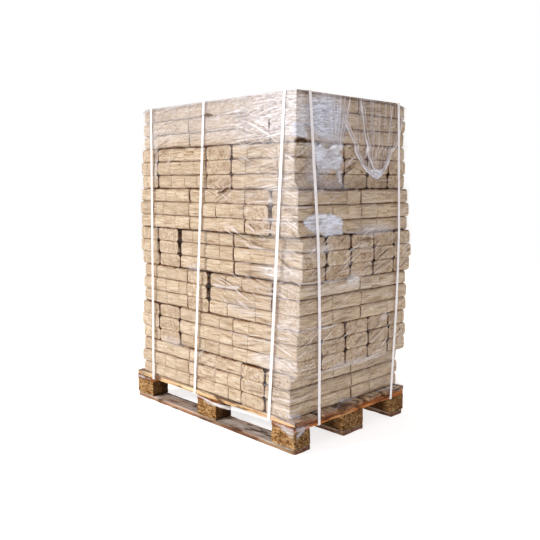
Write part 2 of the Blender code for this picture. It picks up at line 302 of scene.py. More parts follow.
# Gathered bands of film, as (side, milkiness, width, path)
FOLD_LIFT = 0.0016
FOLDS = (
    ("short", 0.88, 0.0095,
     ((-0.115, 1.455), (-0.06, 1.385), (0, 1.31), (0.06, 1.245), (0.11, 1.208), (0.16, 1.188),
      (0.2, 1.205), (0.24, 1.25), (0.285, 1.325), (0.325, 1.42), (0.335, 1.5))),
    ("short", 0.7, 0.0075,
     ((-0.1, 1.46), (-0.04, 1.385), (0.02, 1.312), (0.07, 1.252), (0.12, 1.216), (0.16, 1.2),
      (0.195, 1.215), (0.23, 1.258), (0.27, 1.33), (0.305, 1.415))),
    ("short", 0.88, 0.0105,
     ((0.01, 1.536), (0.022, 1.49), (0.035, 1.45), (0.055, 1.37), (0.085, 1.31), (0.125, 1.255),
      (0.155, 1.205))),
    ("short", 0.65, 0.007, ((0.03, 1.536), (0.045, 1.48), (0.065, 1.4), (0.095, 1.32), (0.15, 1.22))),
    ("short", 0.85, 0.01, ((-0.06, 1.536), (-0.08, 1.46), (-0.1, 1.39), (-0.118, 1.33))),
    ("short", 0.78, 0.009, ((-0.095, 1.536), (-0.104, 1.46), (-0.116, 1.39), (-0.127, 1.328))),
    ("short", 0.72, 0.009, ((-0.13, 1.534), (-0.132, 1.46), (-0.136, 1.39), (-0.138, 1.332))),
    ("short", 0.66, 0.0085, ((-0.17, 1.53), (-0.165, 1.46), (-0.158, 1.39), (-0.15, 1.336))),
    ("short", 0.6, 0.008, ((-0.215, 1.53), (-0.205, 1.46), (-0.186, 1.39), (-0.164, 1.34))),
    ("short", 0.6, 0.007, ((0.095, 1.536), (0.1, 1.45), (0.115, 1.36), (0.14, 1.24))),
    ("short", 0.56, 0.0065, ((0.15, 1.536), (0.152, 1.45), (0.155, 1.35), (0.158, 1.22))),
    ("short", 0.56, 0.0065, ((0.205, 1.536), (0.2, 1.45), (0.185, 1.35), (0.168, 1.22))),
    ("short", 0.52, 0.0065, ((0.255, 1.53), (0.24, 1.43), (0.215, 1.32), (0.185, 1.22))),
    ("short", 0.75, 0.009, ((0.075, 1.245), (0.1, 1.222), (0.135, 1.2), (0.165, 1.197), (0.2, 1.215))),
    # These four level bands along the layer tops are painted highlights: the sheen on the packs' top edges
    ("short", 0.55, 0.008, ((-0.12, 0.958), (-0.05, 0.948), (0, 0.946), (0.05, 0.953), (0.1, 0.968))),
    ("short", 0.46, 0.008, ((-0.4, 0.752), (-0.3, 0.748), (-0.2, 0.742), (-0.1, 0.738), (0, 0.736))),
    ("short", 0.46, 0.008, ((-0.4, 0.545), (-0.32, 0.548), (-0.22, 0.54), (-0.14, 0.545))),
    ("short", 0.34, 0.007, ((-0.3, 0.338), (-0.19, 0.342), (-0.08, 0.338), (0.02, 0.335), (0.12, 0.34))),
    ("long", 0.82, 0.01,
     ((-0.07, 0.119), (0, 0.112), (0.07, 0.106), (0.13, 0.108), (0.22, 0.116), (0.34, 0.12), (0.46, 0.122))),
    ("long", 0.55, 0.006, ((-0.02, 0.104), (0.05, 0.098), (0.12, 0.099), (0.2, 0.108))),
    ("long", 0.5, 0.011, ((0.05, 0.69), (0.12, 0.686), (0.2, 0.69), (0.26, 0.7))),
    ("long", 0.36, 0.011, ((0.27, 0.893), (0.34, 0.882), (0.42, 0.876), (0.5, 0.872), (0.6, 0.88))),
    ("long", 0.4, 0.009, ((0.17, 0.48), (0.25, 0.474), (0.34, 0.47), (0.42, 0.474), (0.5, 0.47))),
    ("long", 0.36, 0.008, ((0.4, 1.005), (0.46, 1.012), (0.54, 1.008), (0.6, 1.015))),
    ("long", 0.36, 0.008, ((0.34, 1.175), (0.42, 1.182), (0.5, 1.176), (0.58, 1.182))),
    ("long", 0.34, 0.007, ((-0.14, 0.29), (-0.1, 0.275), (-0.06, 0.268))),
)

# Dark tears, and painted shadows along creases and layer edges, as (side, darkness, width, path)
TEARS = (
    ("long", 0.95, 0.012, ((0.095, 1.118), (0.12, 1.122), (0.155, 1.132), (0.195, 1.152))),
    ("long", 0.8, 0.009, ((-0.435, 1.12), (-0.4, 1.132), (-0.37, 1.152))),
    ("long", 0.7, 0.009, ((-0.412, 1.325), (-0.408, 1.285), (-0.414, 1.245))),
    ("long", 0.8, 0.009, ((0.442, 1.432), (0.444, 1.405), (0.44, 1.375))),
    ("long", 0.75, 0.008, ((0.3, 0.917), (0.33, 0.905), (0.37, 0.902))),
    ("long", 0.7, 0.008, ((-0.1, 1.338), (0, 1.333), (0.08, 1.34))),
    ("long", 0.7, 0.008, ((-0.36, 1.337), (-0.24, 1.341), (-0.13, 1.336))),
    ("long", 0.6, 0.008, ((-0.02, 1.472), (0.03, 1.478), (0.09, 1.47))),
    ("short", 0.9, 0.016, ((-0.41, 1.335), (-0.37, 1.341), (-0.325, 1.332))),
    ("short", 0.9, 0.009, ((-0.272, 1.262), (-0.262, 1.235), (-0.25, 1.207))),
    ("short", 0.8, 0.009, ((0.035, 1.225), (0.055, 1.215), (0.07, 1.205))),
    ("short", 0.6, 0.008, ((-0.25, 1.138), (-0.15, 1.132), (-0.06, 1.137))),
)

# Loose film along the bottom, as scraps
SKIRT = (
    ("long", 0.46, 0.014, 0.0025,
     ((0.45, 0.128), (0.52, 0.13), (0.606, 0.13), (0.606, 0.06), (0.585, 0.056), (0.55, 0.078),
      (0.5, 0.098), (0.46, 0.11))),
    ("short", 0.42, 0.014, 0.0025,
     ((-0.406, 0.13), (-0.34, 0.128), (-0.28, 0.122), (-0.31, 0.098), (-0.355, 0.074), (-0.395, 0.052))),
    ("long", 0.5, 0.01, 0.0025,
     ((-0.605, 0.128), (-0.52, 0.126), (-0.45, 0.124), (-0.46, 0.108), (-0.54, 0.102), (-0.6, 0.098))),
    ("short", 0.46, 0.012, 0.003,
     ((-0.1, 0.178), (-0.04, 0.182), (0.04, 0.172), (0.07, 0.155), (0.02, 0.147), (-0.08, 0.148))),
    ("short", 0.44, 0.012, 0.003,
     ((-0.42, 0.19), (-0.37, 0.186), (-0.33, 0.172), (-0.34, 0.15), (-0.4, 0.146), (-0.43, 0.165))),
)

# The film that hangs from the top edge of the short side: its top edge, as from, to and height,
# then its hem
DRAPE_TOP = (-0.15, 0.36, 1.5365)
DRAPE_HEM = ((-0.115, 1.450), (0.0, 1.310), (0.06, 1.245), (0.11, 1.208), (0.16, 1.188), (0.20, 1.205),
             (0.24, 1.250), (0.285, 1.325), (0.335, 1.450))
DRAPE_PLEATS = 15.0
DRAPE_LIFT = 0.0030
DRAPE_FOLD = 0.0075
DRAPE_ROWS = 64

# What the stretch film shows where on each side: milkiness, lines that run level, rise, fall or
# stand upright (light lines as painted highlights, dark ones as painted shade), or a cool tint that is
# painted reflection of the sky. A place is its middle along the side and up, its reach along and up, and how
# much it shows.
ZONES = {
    ("long", "haze"): (
        (0.4, 1.5, 0.085, 0.03, 0.62), (0.4, 1.4, 0.06, 0.045, 0.46), (0.53, 1.45, 0.07, 0.07, 0.34),
        (-0.39, 1.4, 0.03, 0.09, 0.36), (-0.405, 1.24, 0.02, 0.07, 0.32), (0.55, 1.19, 0.07, 0.05, 0.36),
        (0.53, 1.005, 0.12, 0.02, 0.38), (0.5, 0.785, 0.14, 0.03, 0.46), (0.55, 0.55, 0.11, 0.02, 0.4),
        (0.5, 0.39, 0.14, 0.034, 0.42), (0.57, 0.63, 0.06, 0.04, 0.22), (-0.28, 0.36, 0.08, 0.022, 0.24),
        (-0.1, 0.76, 0.04, 0.02, 0.3), (0.25, 0.6, 0.1, 0.03, 0.2), (0.1, 1.44, 0.22, 0.09, 0.12)),
    ("long", "falling"): (
        (0.27, 0.95, 0.12, 0.06, 1), (0.2, 0.69, 0.22, 0.07, 1), (0.33, 1.34, 0.16, 0.1, 0.9),
        (0.56, 0.85, 0.08, 0.7, 0.8), (0.1, 1.13, 0.1, 0.05, 0.7)),
    ("long", "rising"): (
        (-0.33, 1.3, 0.1, 0.14, 0.7), (0.13, 1.14, 0.1, 0.06, 0.8), (-0.05, 0.33, 0.16, 0.1, 0.5),
        (0.37, 0.26, 0.14, 0.05, 0.5)),
    ("short", "haze"): (
        (-0.22, 1.44, 0.13, 0.1, 0.74), (-0.375, 1.44, 0.035, 0.09, 0.68),
        (-0.27, 1.22, 0.06, 0.09, 0.34), (-0.37, 1.16, 0.05, 0.05, 0.16), (-0.2, 1.155, 0.13, 0.03, 0.26),
        (0.12, 0.955, 0.13, 0.024, 0.42), (-0.04, 0.73, 0.045, 0.032, 0.5),
        (-0.27, 0.885, 0.09, 0.018, 0.44), (0.02, 0.34, 0.2, 0.018, 0.34), (0.2, 0.53, 0.03, 0.022, 0.36),
        (-0.15, 0.705, 0.22, 0.016, 0.22)),
    ("short", "level"): (
        (-0.2, 1.44, 0.15, 0.11, 1),),
    ("short", "rising"): (
        (-0.03, 1.21, 0.09, 0.08, 1), (-0.37, 1.23, 0.07, 0.11, 1), (0, 0.84, 0.6, 0.105, 0.8),
        (0, 0.443, 0.6, 0.105, 0.8), (0, 0.64, 0.6, 0.08, 0.3)),
    ("short", "upright"): (
        (-0.16, 1.44, 0.09, 0.1, 0.8), (0.1, 1.46, 0.22, 0.08, 0.6)),
    ("short", "cool"): (
        (-0.22, 1.4, 0.16, 0.14, 0.95), (-0.24, 1.1, 0.16, 0.14, 0.8), (-0.24, 0.98, 0.14, 0.06, 0.8)),
}
LINES_EVERYWHERE = {"level": 0.40, "rising": 0.24, "falling": 0.16, "upright": 0.0}
# The long side's film is milkier toward the near corner and over the top layer: from and to where
TOWARD_CORNER = (0.08, 0.42)
TOWARD_TOP = (1.31, 1.40)
# The film's darker upper edge, and the stretch along the load's corners that stays clear
FILM_RIM = (0.014, 0.007)
FILM_CORNER_CLEAR = (0.003, 0.040)


# Numbers

def noise(points, seed):
    """Smooth noise from 0 to 1 at each point, about one feature to a unit."""
    points = np.asarray(points, float)
    cell = np.floor(points).astype(np.int64)
    part = points - cell
    part = part * part * (3 - 2 * part)
    total = np.zeros(points.shape[:-1])
    for corner in np.ndindex(2, 2, 2):
        key = (cell + corner) * np.array([73856093, 19349663, 83492791])
        mixed = key[..., 0] ^ key[..., 1] ^ key[..., 2] ^ (seed * 2654435761 + 12345)
        mixed = (mixed ^ (mixed >> 13)) * 1274126177 & 0x7FFFFFFF
        value = ((mixed ^ (mixed >> 15)) & 0xFFFF) / 0xFFFF
        total += value * np.prod(np.where(corner, part, 1 - part), axis=-1)
    return total


def ridges(points, seed, sharpness=2.0):
    """Thin crests from 0 to 1, where the noise passes its middle."""
    return (1 - np.abs(2 * noise(points, seed) - 1)) ** sharpness


def smooth_step(low, high, value):
    """0 below low, 1 above high, and smooth between."""
    part = np.clip((np.asarray(value, float) - low) / (high - low), 0, 1)
    return part * part * (3 - 2 * part)


def spot(u, z, middle_u, middle_z, reach_u, reach_z):
    """1 inside an ellipse and 0 outside, with a soft edge."""
    return 1 - smooth_step(0.5, 1.5, np.hypot((u - middle_u) / reach_u, (z - middle_z) / reach_z))


def stack(*parts):
    """Points from their parts, each a list of numbers or one number for all."""
    return np.stack(np.broadcast_arrays(*parts), -1)


# Meshes

class Shape:
    """Points, four-sided faces and values at the points, gathered for one mesh."""

    def __init__(self):
        self.points, self.faces, self.values, self.count = [], [], {}, 0

    def add(self, points, faces, **values):
        points = np.asarray(points, float).reshape(-1, 3)
        self.points.append(points)
        self.faces.append(np.asarray(faces, int).reshape(-1, 4) + self.count)
        self.count += len(points)
        for name, value in values.items():
            value = np.asarray(value, float)
            wanted = (len(points), 3) if value.shape and value.shape[-1] == 3 else (len(points),)
            self.values.setdefault(name, []).append(np.broadcast_to(value, wanted))


def add_piece(name, shape, material, stands_for=(), sharp=50):
    """A mesh object from a Shape, riding on the load."""
    mesh = bpy.data.meshes.new(name)
    mesh.from_pydata(np.concatenate(shape.points).tolist(), [], np.concatenate(shape.faces).tolist())
    for key, arrays in shape.values.items():
        value = np.concatenate(arrays).astype(np.float32)
        if value.ndim == 2:
            mesh.attributes.new(key, "FLOAT_VECTOR", "POINT").data.foreach_set("vector", value.ravel())
        else:
            mesh.attributes.new(key, "FLOAT", "POINT").data.foreach_set("value", value)
    mesh.shade_smooth()
    mesh.set_sharp_from_angle(angle=math.radians(sharp))
    mesh.materials.append(material)
    piece = bpy.data.objects.new(name, mesh)
    bpy.context.scene.collection.objects.link(piece)
    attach(piece, "root")
    if stands_for:
        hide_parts(*stands_for)
    return piece


def sheet_faces(rows, columns, closed=False):
    """The faces of a grid of points, row by row. A closed one joins its last column to its first."""
    across = columns if closed else columns - 1
    i, j = np.meshgrid(np.arange(rows - 1), np.arange(across), indexing="ij")
    after = (j + 1) % columns
    faces = np.stack([i * columns + j, i * columns + after,
                      (i + 1) * columns + after, (i + 1) * columns + j], -1)
    return faces.reshape(-1, 4)


def rounded_section(half_width, half_height, radius, steps):
    """Points round a rectangle with rounded corners, anticlockwise from its lower right."""
    ring = []
    for corner, (side, level) in enumerate(((1, -1), (1, 1), (-1, 1), (-1, -1))):
        for step in range(steps + 1):
            angle = (corner - 1 + step / steps) * math.pi / 2
            ring.append((side * (half_width - radius) + radius * math.cos(angle),
                         level * (half_height - radius) + radius * math.sin(angle)))
    return np.array(ring)


def tube_faces(rings, size):
    """The faces of a closed tube of rings, with both ends filled by strips."""
    k = np.arange(size // 2 - 1)
    start = np.stack([size - 1 - k, size - 2 - k, k + 1, k], -1)
    end = np.stack([k, k + 1, size - 2 - k, size - 1 - k], -1) + (rings - 1) * size
    return np.concatenate([sheet_faces(rings, size, closed=True), start, end])


def box_lines(low, high, cell, margin):
    """Where the grid lines of a box lie along one axis, with two close lines at each end."""
    inner = max(2, int(round((high - low - 2 * margin) / cell)) + 1)
    middle = np.linspace(low + margin, high - margin, inner)
    return np.concatenate([[low, low + 0.35 * margin], middle, [high - 0.35 * margin, high]])


def box_shell(low, high, cell, margin):
    """Points and faces of a box cut into small faces."""
    lines = [box_lines(low[a], high[a], cell, margin) for a in range(3)]
    points, faces, count = [], [], 0
    for axis in range(3):
        u, v = (axis + 1) % 3, (axis + 2) % 3
        for side in (0, -1):
            grid_u, grid_v = np.meshgrid(lines[u], lines[v], indexing="ij")
            place = np.empty(grid_u.shape + (3,))
            place[..., u], place[..., v] = grid_u, grid_v
            place[..., axis] = lines[axis][side]
            found = sheet_faces(*grid_u.shape)
            faces.append((found if side == 0 else found[:, ::-1]) + count)
            points.append(place.reshape(-1, 3))
            count += grid_u.size
    points = np.concatenate(points)
    _, first, back = np.unique(np.round(points * 1e6).astype(np.int64), axis=0,
                               return_index=True, return_inverse=True)
    return points[first], back.reshape(-1)[np.concatenate(faces)]


def rounded_box(points, low, high, radius):
    """The points of a box moved so that its edges are rounded. radius may differ from point to point."""
    radius = np.broadcast_to(np.asarray(radius, float), (len(points),))[:, None]
    inner = np.clip(points, np.asarray(low) + radius, np.asarray(high) - radius)
    out = points - inner
    length = np.maximum(np.linalg.norm(out, axis=1, keepdims=True), 1e-9)
    return inner + out * np.minimum(1, radius / length)


# Materials

class Nodes:
    """The node tree of a material or world, with short calls for the nodes that are used here."""

    def __init__(self, owner, output="OutputMaterial"):
        self.owner = owner
        self.tree = owner.node_tree
        self.tree.nodes.clear()
        self.output = self.tree.nodes.new("ShaderNode" + output)

    def set(self, socket, value):
        """Link a socket to another node's output, or give it a value."""
        if isinstance(value, bpy.types.NodeSocket):
            self.tree.links.new(value, socket)
        elif isinstance(value, tuple) and socket.type == "RGBA" and len(value) == 3:
            socket.default_value = (*value, 1.0)
        else:
            socket.default_value = value

    def node(self, kind, inputs=None, **settings):
        """A new node with its settings and inputs. Inputs are given by name or number."""
        made = self.tree.nodes.new("ShaderNode" + kind)
        for key, value in settings.items():
            setattr(made, key, value)
        for key, value in (inputs or {}).items():
            self.set(made.inputs[key], value)
        return made

    def attribute(self, name, kind="Fac"):
        return self.node("Attribute", attribute_name=name).outputs[kind]

    def math(self, operation, *values, clamp=False):
        made = self.node("Math", dict(enumerate(values)), operation=operation, use_clamp=clamp)
        return made.outputs[0]

    def times(self, first, second):
        return self.math("MULTIPLY", first, second)

    def weighed(self, first, share, second, other):
        """The sum of two numbers, each times its share."""
        return self.math("ADD", self.times(first, share), self.times(second, other))

    def spread(self, value, low, high, to_low=0.0, to_high=1.0):
        """A value spread from one range to another, smoothly, and kept in it."""
        inputs = {"Value": value, "From Min": low, "From Max": high, "To Min": to_low, "To Max": to_high}
        return self.node("MapRange", inputs, interpolation_type="SMOOTHSTEP").outputs[0]

    def scaled(self, vector, scale, turn=0.0, shift=(0.0, 0.0, 0.0)):
        """A vector turned in its first two axes, in degrees, and then scaled along each."""
        if turn:
            turned = self.node("VectorRotate", {"Vector": vector, "Angle": math.radians(turn)},
                               rotation_type="Z_AXIS")
            vector = turned.outputs[0]
        mapped = self.node("Mapping", {"Vector": vector, "Scale": scale, "Location": shift})
        return mapped.outputs[0]

    def noise(self, vector, scale=1.0, detail=2.0, roughness=0.5, distortion=0.0, **placing):
        """Noise at one scale, or at a scale for each axis and then turned or shifted."""
        if isinstance(scale, tuple):
            vector, scale = self.scaled(vector, scale, **placing), 1.0
        inputs = {"Vector": vector, "Scale": scale, "Detail": detail, "Roughness": roughness,
                  "Distortion": distortion}
        return self.node("TexNoise", inputs).outputs["Fac"]

    def cells(self, vector):
        """Uneven cells: how far each place is from its cell's middle, and the cell's own number."""
        made = self.node("TexVoronoi", {"Vector": vector, "Scale": 1.0})
        number = self.node("SeparateColor", {"Color": made.outputs["Color"]}).outputs[0]
        return made.outputs["Distance"], number

    def between(self, factor, first, second):
        """A mix of two numbers."""
        return self.node("Mix", {0: factor, 2: first, 3: second}, data_type="FLOAT").outputs[0]

    def lines(self, value, width):
        """1 where a noise passes its middle, falling to 0 within the width."""
        away = self.math("ABSOLUTE", self.math("SUBTRACT", value, 0.5))
        return self.spread(away, 0.0, width, 1.0, 0.0)

    def blend(self, factor, first, second, mode="MIX"):
        """A mix of two colours."""
        made = self.node("Mix", data_type="RGBA", blend_type=mode)
        for socket, value in ((made.inputs[0], factor), (made.inputs[6], first), (made.inputs[7], second)):
            self.set(socket, value)
        return made.outputs[2]

    def ramp(self, value, *stops):
        """A colour for a value, from stops of (place, colour)."""
        made = self.node("ValToRGB", {"Fac": value})
        elements = made.color_ramp.elements
        while len(elements) < len(stops):
            elements.new(0.5)
        for element, (place, colour) in zip(elements, stops):
            element.position = place
            element.color = (*colour, 1.0)
        return made.outputs["Color"]

    def bump(self, height, distance, strength):
        inputs = {"Height": height, "Distance": distance, "Strength": strength}
        return self.node("Bump", inputs).outputs["Normal"]

    def finish(self, shader):
        """Link the last shader to the output. It gives back the material or world."""
        self.set(self.output.inputs["Surface"], shader)
        return self.owner

    def finish_solid(self, inputs):
        """The same, with a Principled shader that has these inputs."""
        return self.finish(self.node("BsdfPrincipled", inputs).outputs[0])


def new_material(name):
    """The nodes of a new material."""
    material = bpy.data.materials.new(name)
    material.use_nodes = True
    return Nodes(material)


def briquette_material():
    """Pressed sawdust: fine lines along each brick, chips on its pressed ends, and painted shade between
    bricks.
    """
    n = new_material("briquette_wood")
    grain = n.attribute("grain", "Vector")
    pressed = n.attribute("pressed")
    fibres = n.noise(grain, (14, 210, 240), detail=3.0, roughness=0.65)
    streaks = n.noise(grain, (13, 80, 80), shift=(5, 0, 2), detail=2.0, roughness=0.6)
    bands = n.noise(grain, (6, 34, 34), shift=(0, 7, 1), detail=2.0)
    chips = n.noise(grain, (200, 200, 200), detail=3.0, roughness=0.7)
    coarse = n.noise(grain, (70, 80, 80), detail=2.0, roughness=0.6)
    blotches = n.noise(grain, (24, 28, 28), detail=2.0)
    side = n.math("MULTIPLY_ADD", bands, 0.17, n.weighed(fibres, 0.55, streaks, 0.28))
    end = n.weighed(chips, 0.55, coarse, 0.45)
    end = n.math("MULTIPLY_ADD", blotches, 0.22, n.math("SUBTRACT", end, 0.12))
    end = n.math("MULTIPLY_ADD", end, 1.1, -0.03)
    pattern = n.between(pressed, side, end)
    colour = n.ramp(pattern, (0.36, (0.26, 0.155, 0.080)), (0.45, (0.54, 0.415, 0.285)),
                    (0.51, (0.65, 0.535, 0.400)), (0.60, (0.82, 0.715, 0.570)))
    toned = n.blend(n.spread(n.attribute("tone"), 0.0, 1.0, 0.0, 0.42), colour, (0.44, 0.335, 0.235))
    specks = n.spread(n.noise(grain, (150, 190, 190), shift=(3, 1, 2), detail=1.0), 0.64, 0.72)
    speckled = n.blend(n.times(specks, 0.6), toned, (0.22, 0.12, 0.055))
    uneven = n.spread(n.noise(grain, (18, 22, 22), detail=3.0), 0.38, 0.60, 0.25, 1.0)
    # Painted shade: brown where the bricks meet, near black where they are shut in
    groove = n.attribute("groove")
    depth = n.times(n.spread(groove, 0.10, 0.75), uneven)
    groove_shaded = n.blend(depth, speckled, (0.175, 0.060, 0.015))
    deep_shaded = n.blend(n.spread(groove, 0.77, 0.95), groove_shaded, (0.045, 0.008, 0.001))
    height = n.between(pressed, n.math("ADD", fibres, streaks), n.math("ADD", chips, coarse))
    return n.finish_solid({"Base Color": deep_shaded, "Roughness": 0.9, "Specular IOR Level": 0.0,
                           "Normal": n.bump(height, 0.003, 0.9)})


def wood_material():
    """Sawn softwood, from fresh ochre to rust brown, grey where it is weathered."""
    n = new_material("pallet_wood")
    grain = n.attribute("grain", "Vector")
    cut = n.attribute("cut")
    weather = n.attribute("weather")
    rust = n.attribute("rust")
    figure = n.noise(grain, (1.8, 30, 30), detail=3.0, roughness=0.55, distortion=0.5)
    fibres = n.noise(grain, (9, 380, 380), detail=2.0, roughness=0.6)
    side = n.weighed(figure, 0.62, fibres, 0.38)
    heart = n.node("VectorMath", {0: n.scaled(grain, (0, 1, 1), shift=(0, 0.012, 0.06))}, operation="LENGTH")
    turns = n.times(heart.outputs["Value"], 1300.0)
    rings = n.math("MULTIPLY_ADD", n.math("SINE", n.math("MULTIPLY_ADD", figure, 5.0, turns)), 0.22, 0.45)
    chips = n.noise(grain, (160, 160, 160), detail=2.0, roughness=0.6)
    end = n.weighed(rings, 0.6, chips, 0.36)
    pattern = n.between(cut, side, end)
    fresh = n.ramp(pattern, (0.30, (0.32, 0.14, 0.05)), (0.42, (0.70, 0.43, 0.18)),
                   (0.54, (0.92, 0.68, 0.36)), (0.68, (0.97, 0.84, 0.57)))
    rusty = n.ramp(pattern, (0.30, (0.050, 0.015, 0.006)), (0.42, (0.25, 0.065, 0.018)),
                   (0.54, (0.56, 0.19, 0.045)), (0.70, (0.80, 0.37, 0.12)))
    grey = n.ramp(pattern, (0.30, (0.075, 0.058, 0.048)), (0.44, (0.32, 0.28, 0.25)),
                  (0.56, (0.58, 0.53, 0.50)), (0.70, (0.76, 0.73, 0.71)))
    patches = n.spread(n.noise(grain, (5, 16, 16), shift=(2, 5, 9), detail=3.0), 0.36, 0.62)
    rustier = n.math("ADD", rust, n.math("MULTIPLY_ADD", patches, 0.5, -0.25), clamp=True)
    greyer = n.times(weather, n.math("MULTIPLY_ADD", patches, -0.30, 1.0))
    aged = n.blend(greyer, n.blend(rustier, fresh, rusty), grey)
    stains = n.spread(n.noise(grain, (9, 30, 30), shift=(8, 1, 4), detail=4.0), 0.50, 0.64)
    stained = n.blend(n.times(stains, 0.85), aged, (0.08, 0.028, 0.011))
    # Dirt, and painted shade inside the pallet and on shaded ends
    stained = n.blend(n.times(n.attribute("dirt"), 0.85), stained, DIRT_AND_SHADE_COLOUR)
    cracks = n.lines(n.noise(grain, (2.2, 70, 70), shift=(4, 4, 1), detail=2.0), 0.012)
    cracked = n.blend(n.times(cracks, 0.75), stained, (0.05, 0.02, 0.01))
    height = n.math("SUBTRACT", pattern, n.times(cracks, 0.5))
    return n.finish_solid({"Base Color": cracked, "Roughness": 0.8, "Specular IOR Level": 0.1,
                           "Normal": n.bump(height, 0.003, 0.9)})


def block_material():
    """Blocks of pressed chips: flakes of many browns, with dark pits between them."""
    n = new_material("block_chips")
    grain = n.attribute("grain", "Vector")
    shaken = n.noise(grain, (60, 60, 60), detail=1.0)
    bent = n.node("VectorMath", {0: n.scaled(grain, (52, 78, 120), turn=17), 1: shaken},
                  operation="ADD").outputs["Vector"]
    away, number = n.cells(bent)
    fine_away, fine_number = n.cells(n.scaled(grain, (130, 170, 220), turn=-28))
    mixed = n.weighed(number, 0.6, fine_number, 0.4)
    colour = n.ramp(mixed, (0.10, (0.08, 0.030, 0.010)), (0.34, (0.30, 0.145, 0.052)),
                    (0.58, (0.53, 0.31, 0.128)), (0.90, (0.72, 0.49, 0.24)))
    pits = n.spread(n.noise(grain, (120, 150, 170), detail=3.0, roughness=0.7), 0.53, 0.66)
    pitted = n.blend(n.times(pits, 0.8), colour, (0.045, 0.016, 0.006))
    broad = n.spread(n.noise(grain, (13, 13, 16), shift=(5, 5, 5), detail=2.0), 0.40, 0.66)
    stained = n.blend(n.times(broad, 0.5), pitted, (0.20, 0.085, 0.03))
    # Dirt, and painted shade inside the pallet and on the blocks' ends
    stained = n.blend(n.times(n.attribute("dirt"), 0.85), stained, DIRT_AND_SHADE_COLOUR)
    height = n.math("SUBTRACT", n.math("ADD", away, fine_away), n.times(pits, 0.8))
    return n.finish_solid({"Base Color": stained, "Roughness": 0.9, "Specular IOR Level": 0.0,
                           "Normal": n.bump(height, 0.004, 0.8)})


def strap_material():
    """White plastic strapping with a fine crossed pattern pressed into it, and a faint glow that is painted
    light.
    """
    n = new_material("strap_plastic")
    place = n.node("TexCoord").outputs["Object"]
    x, y, z = n.node("SeparateXYZ", {"Vector": place}).outputs
    across = n.math("ADD", x, y)
    rising = n.math("SINE", n.times(n.math("ADD", z, across), STRAP_PATTERN))
    falling = n.math("SINE", n.times(n.math("SUBTRACT", z, across), STRAP_PATTERN))
    worn = n.noise(place, scale=35.0, detail=3.0)
    colour = n.ramp(worn, (0.30, (0.84, 0.81, 0.80)), (0.55, (0.94, 0.92, 0.93)), (0.75, (0.97, 0.96, 0.97)))
    # Painted light: a faint glow that lifts the straps toward white
    return n.finish_solid({"Base Color": colour, "Roughness": 0.38,
                           "Normal": n.bump(n.times(rising, falling), 0.0006, 0.6),
                           "Emission Color": (0.94, 0.90, 1.0), "Emission Strength": 0.12})


def nail_material():
    """Dull steel nail heads, going brown."""
    n = new_material("nail_steel")
    rusted = n.noise(n.node("TexCoord").outputs["Object"], scale=220.0, detail=3.0)
    colour = n.ramp(rusted, (0.35, (0.16, 0.08, 0.04)), (0.60, (0.34, 0.30, 0.27)))
    return n.finish_solid({"Base Color": colour, "Roughness": 0.45, "Metallic": 0.7,
                           "Normal": n.bump(rusted, 0.0008, 0.7)})


# The pallet

def worn_box(low, high, cell, edge, chip, rough, seed):
    """The points and faces of a sawn box with worn edges, everywhere inside the box."""
    points, faces = box_shell(low, high, cell, WOOD_MARGIN)
    worn = edge + chip * smooth_step(0.60, 0.86, noise(points * 22 + seed, seed))
    middle, half = (low + high) / 2, (high - low) / 2
    depth = rough * noise(points * 75 + seed * 2.3, seed + 1) ** 2
    shaped = rounded_box(points, low, high, worn)
    return points, middle + (shaped - middle) * (1 - depth[:, None] / half), faces


def cut_corners(points):
    """The outer corners of the outer bottom boards, sawn off."""
    reach = np.abs(points[:, :2]) - (np.array(PALLET_HALF) - CORNER_CUT)
    over = np.maximum(reach.sum(axis=1) - CORNER_CUT, 0) / 2
    points[:, :2] -= np.sign(points[:, :2]) * over[:, None]
    return points


def at_ends(flat, low, high, axis):
    """Whether each point of a plain box lies on one of its two ends."""
    return np.abs(flat[:, axis] - (low + high)[axis] / 2) > (high - low)[axis] / 2 - 1e-5


def inside_pallet(points):
    """How deep each point lies inside the pallet's outline, under its deck: 0 at the outline, 1 well in. It
    places the painted shade inside the pallet.
    """
    depth = (np.array(PALLET_HALF) - np.abs(points[:, :2])).min(axis=1)
    under = 1 - smooth_step(DECK_TOP - UNDER_DECK[0], DECK_TOP - UNDER_DECK[1], points[:, 2])
    return smooth_step(*INSIDE_DEPTH, depth) * under


def add_board(name, along, weather, rust, seed, material):
    """One board. weather is how grey its top is, and rust is how brown it is all over."""
    low, high = (np.array(corner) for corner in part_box(name))
    flat, points, faces = worn_box(low, high, WOOD_CELL, WOOD_EDGE, WOOD_CHIP, WOOD_ROUGH, seed)
    if name in ("bottom_board_1", "bottom_board_3"):
        points = cut_corners(points)
    across = 1 - along
    offset = np.array([seed * 1.7, seed * 0.61, seed * 0.37])
    grain = points[:, [along, across, 2]] - ((low + high) / 2)[[along, across, 2]] + offset
    cut = at_ends(flat, low, high, along)
    on_top = flat[:, 2] > high[2] - WOOD_MARGIN / 2
    top_shade, side_dirt_and_shade, end_dirt_and_shade = BOARD_DIRT_AND_SHADE
    # Painted shade inside the pallet, and darker sawn ends
    dirt = np.maximum(inside_pallet(points) * np.where(on_top, top_shade, side_dirt_and_shade), end_dirt_and_shade * cut)
    # The bottom boards' sides and undersides are darker, partly dirt and partly painted shade
    if name.startswith("bottom"):
        dirt = np.where(on_top, dirt, np.maximum(dirt, BOTTOM_DIRT_AND_SHADE))
    shape = Shape()
    shape.add(points, faces, grain=grain, cut=cut * 1.0, rust=rust + cut * 0.8, dirt=dirt,
              weather=np.where(on_top, weather, weather * 0.35))
    add_piece(name + "_wood", shape, material, [name], sharp=40)


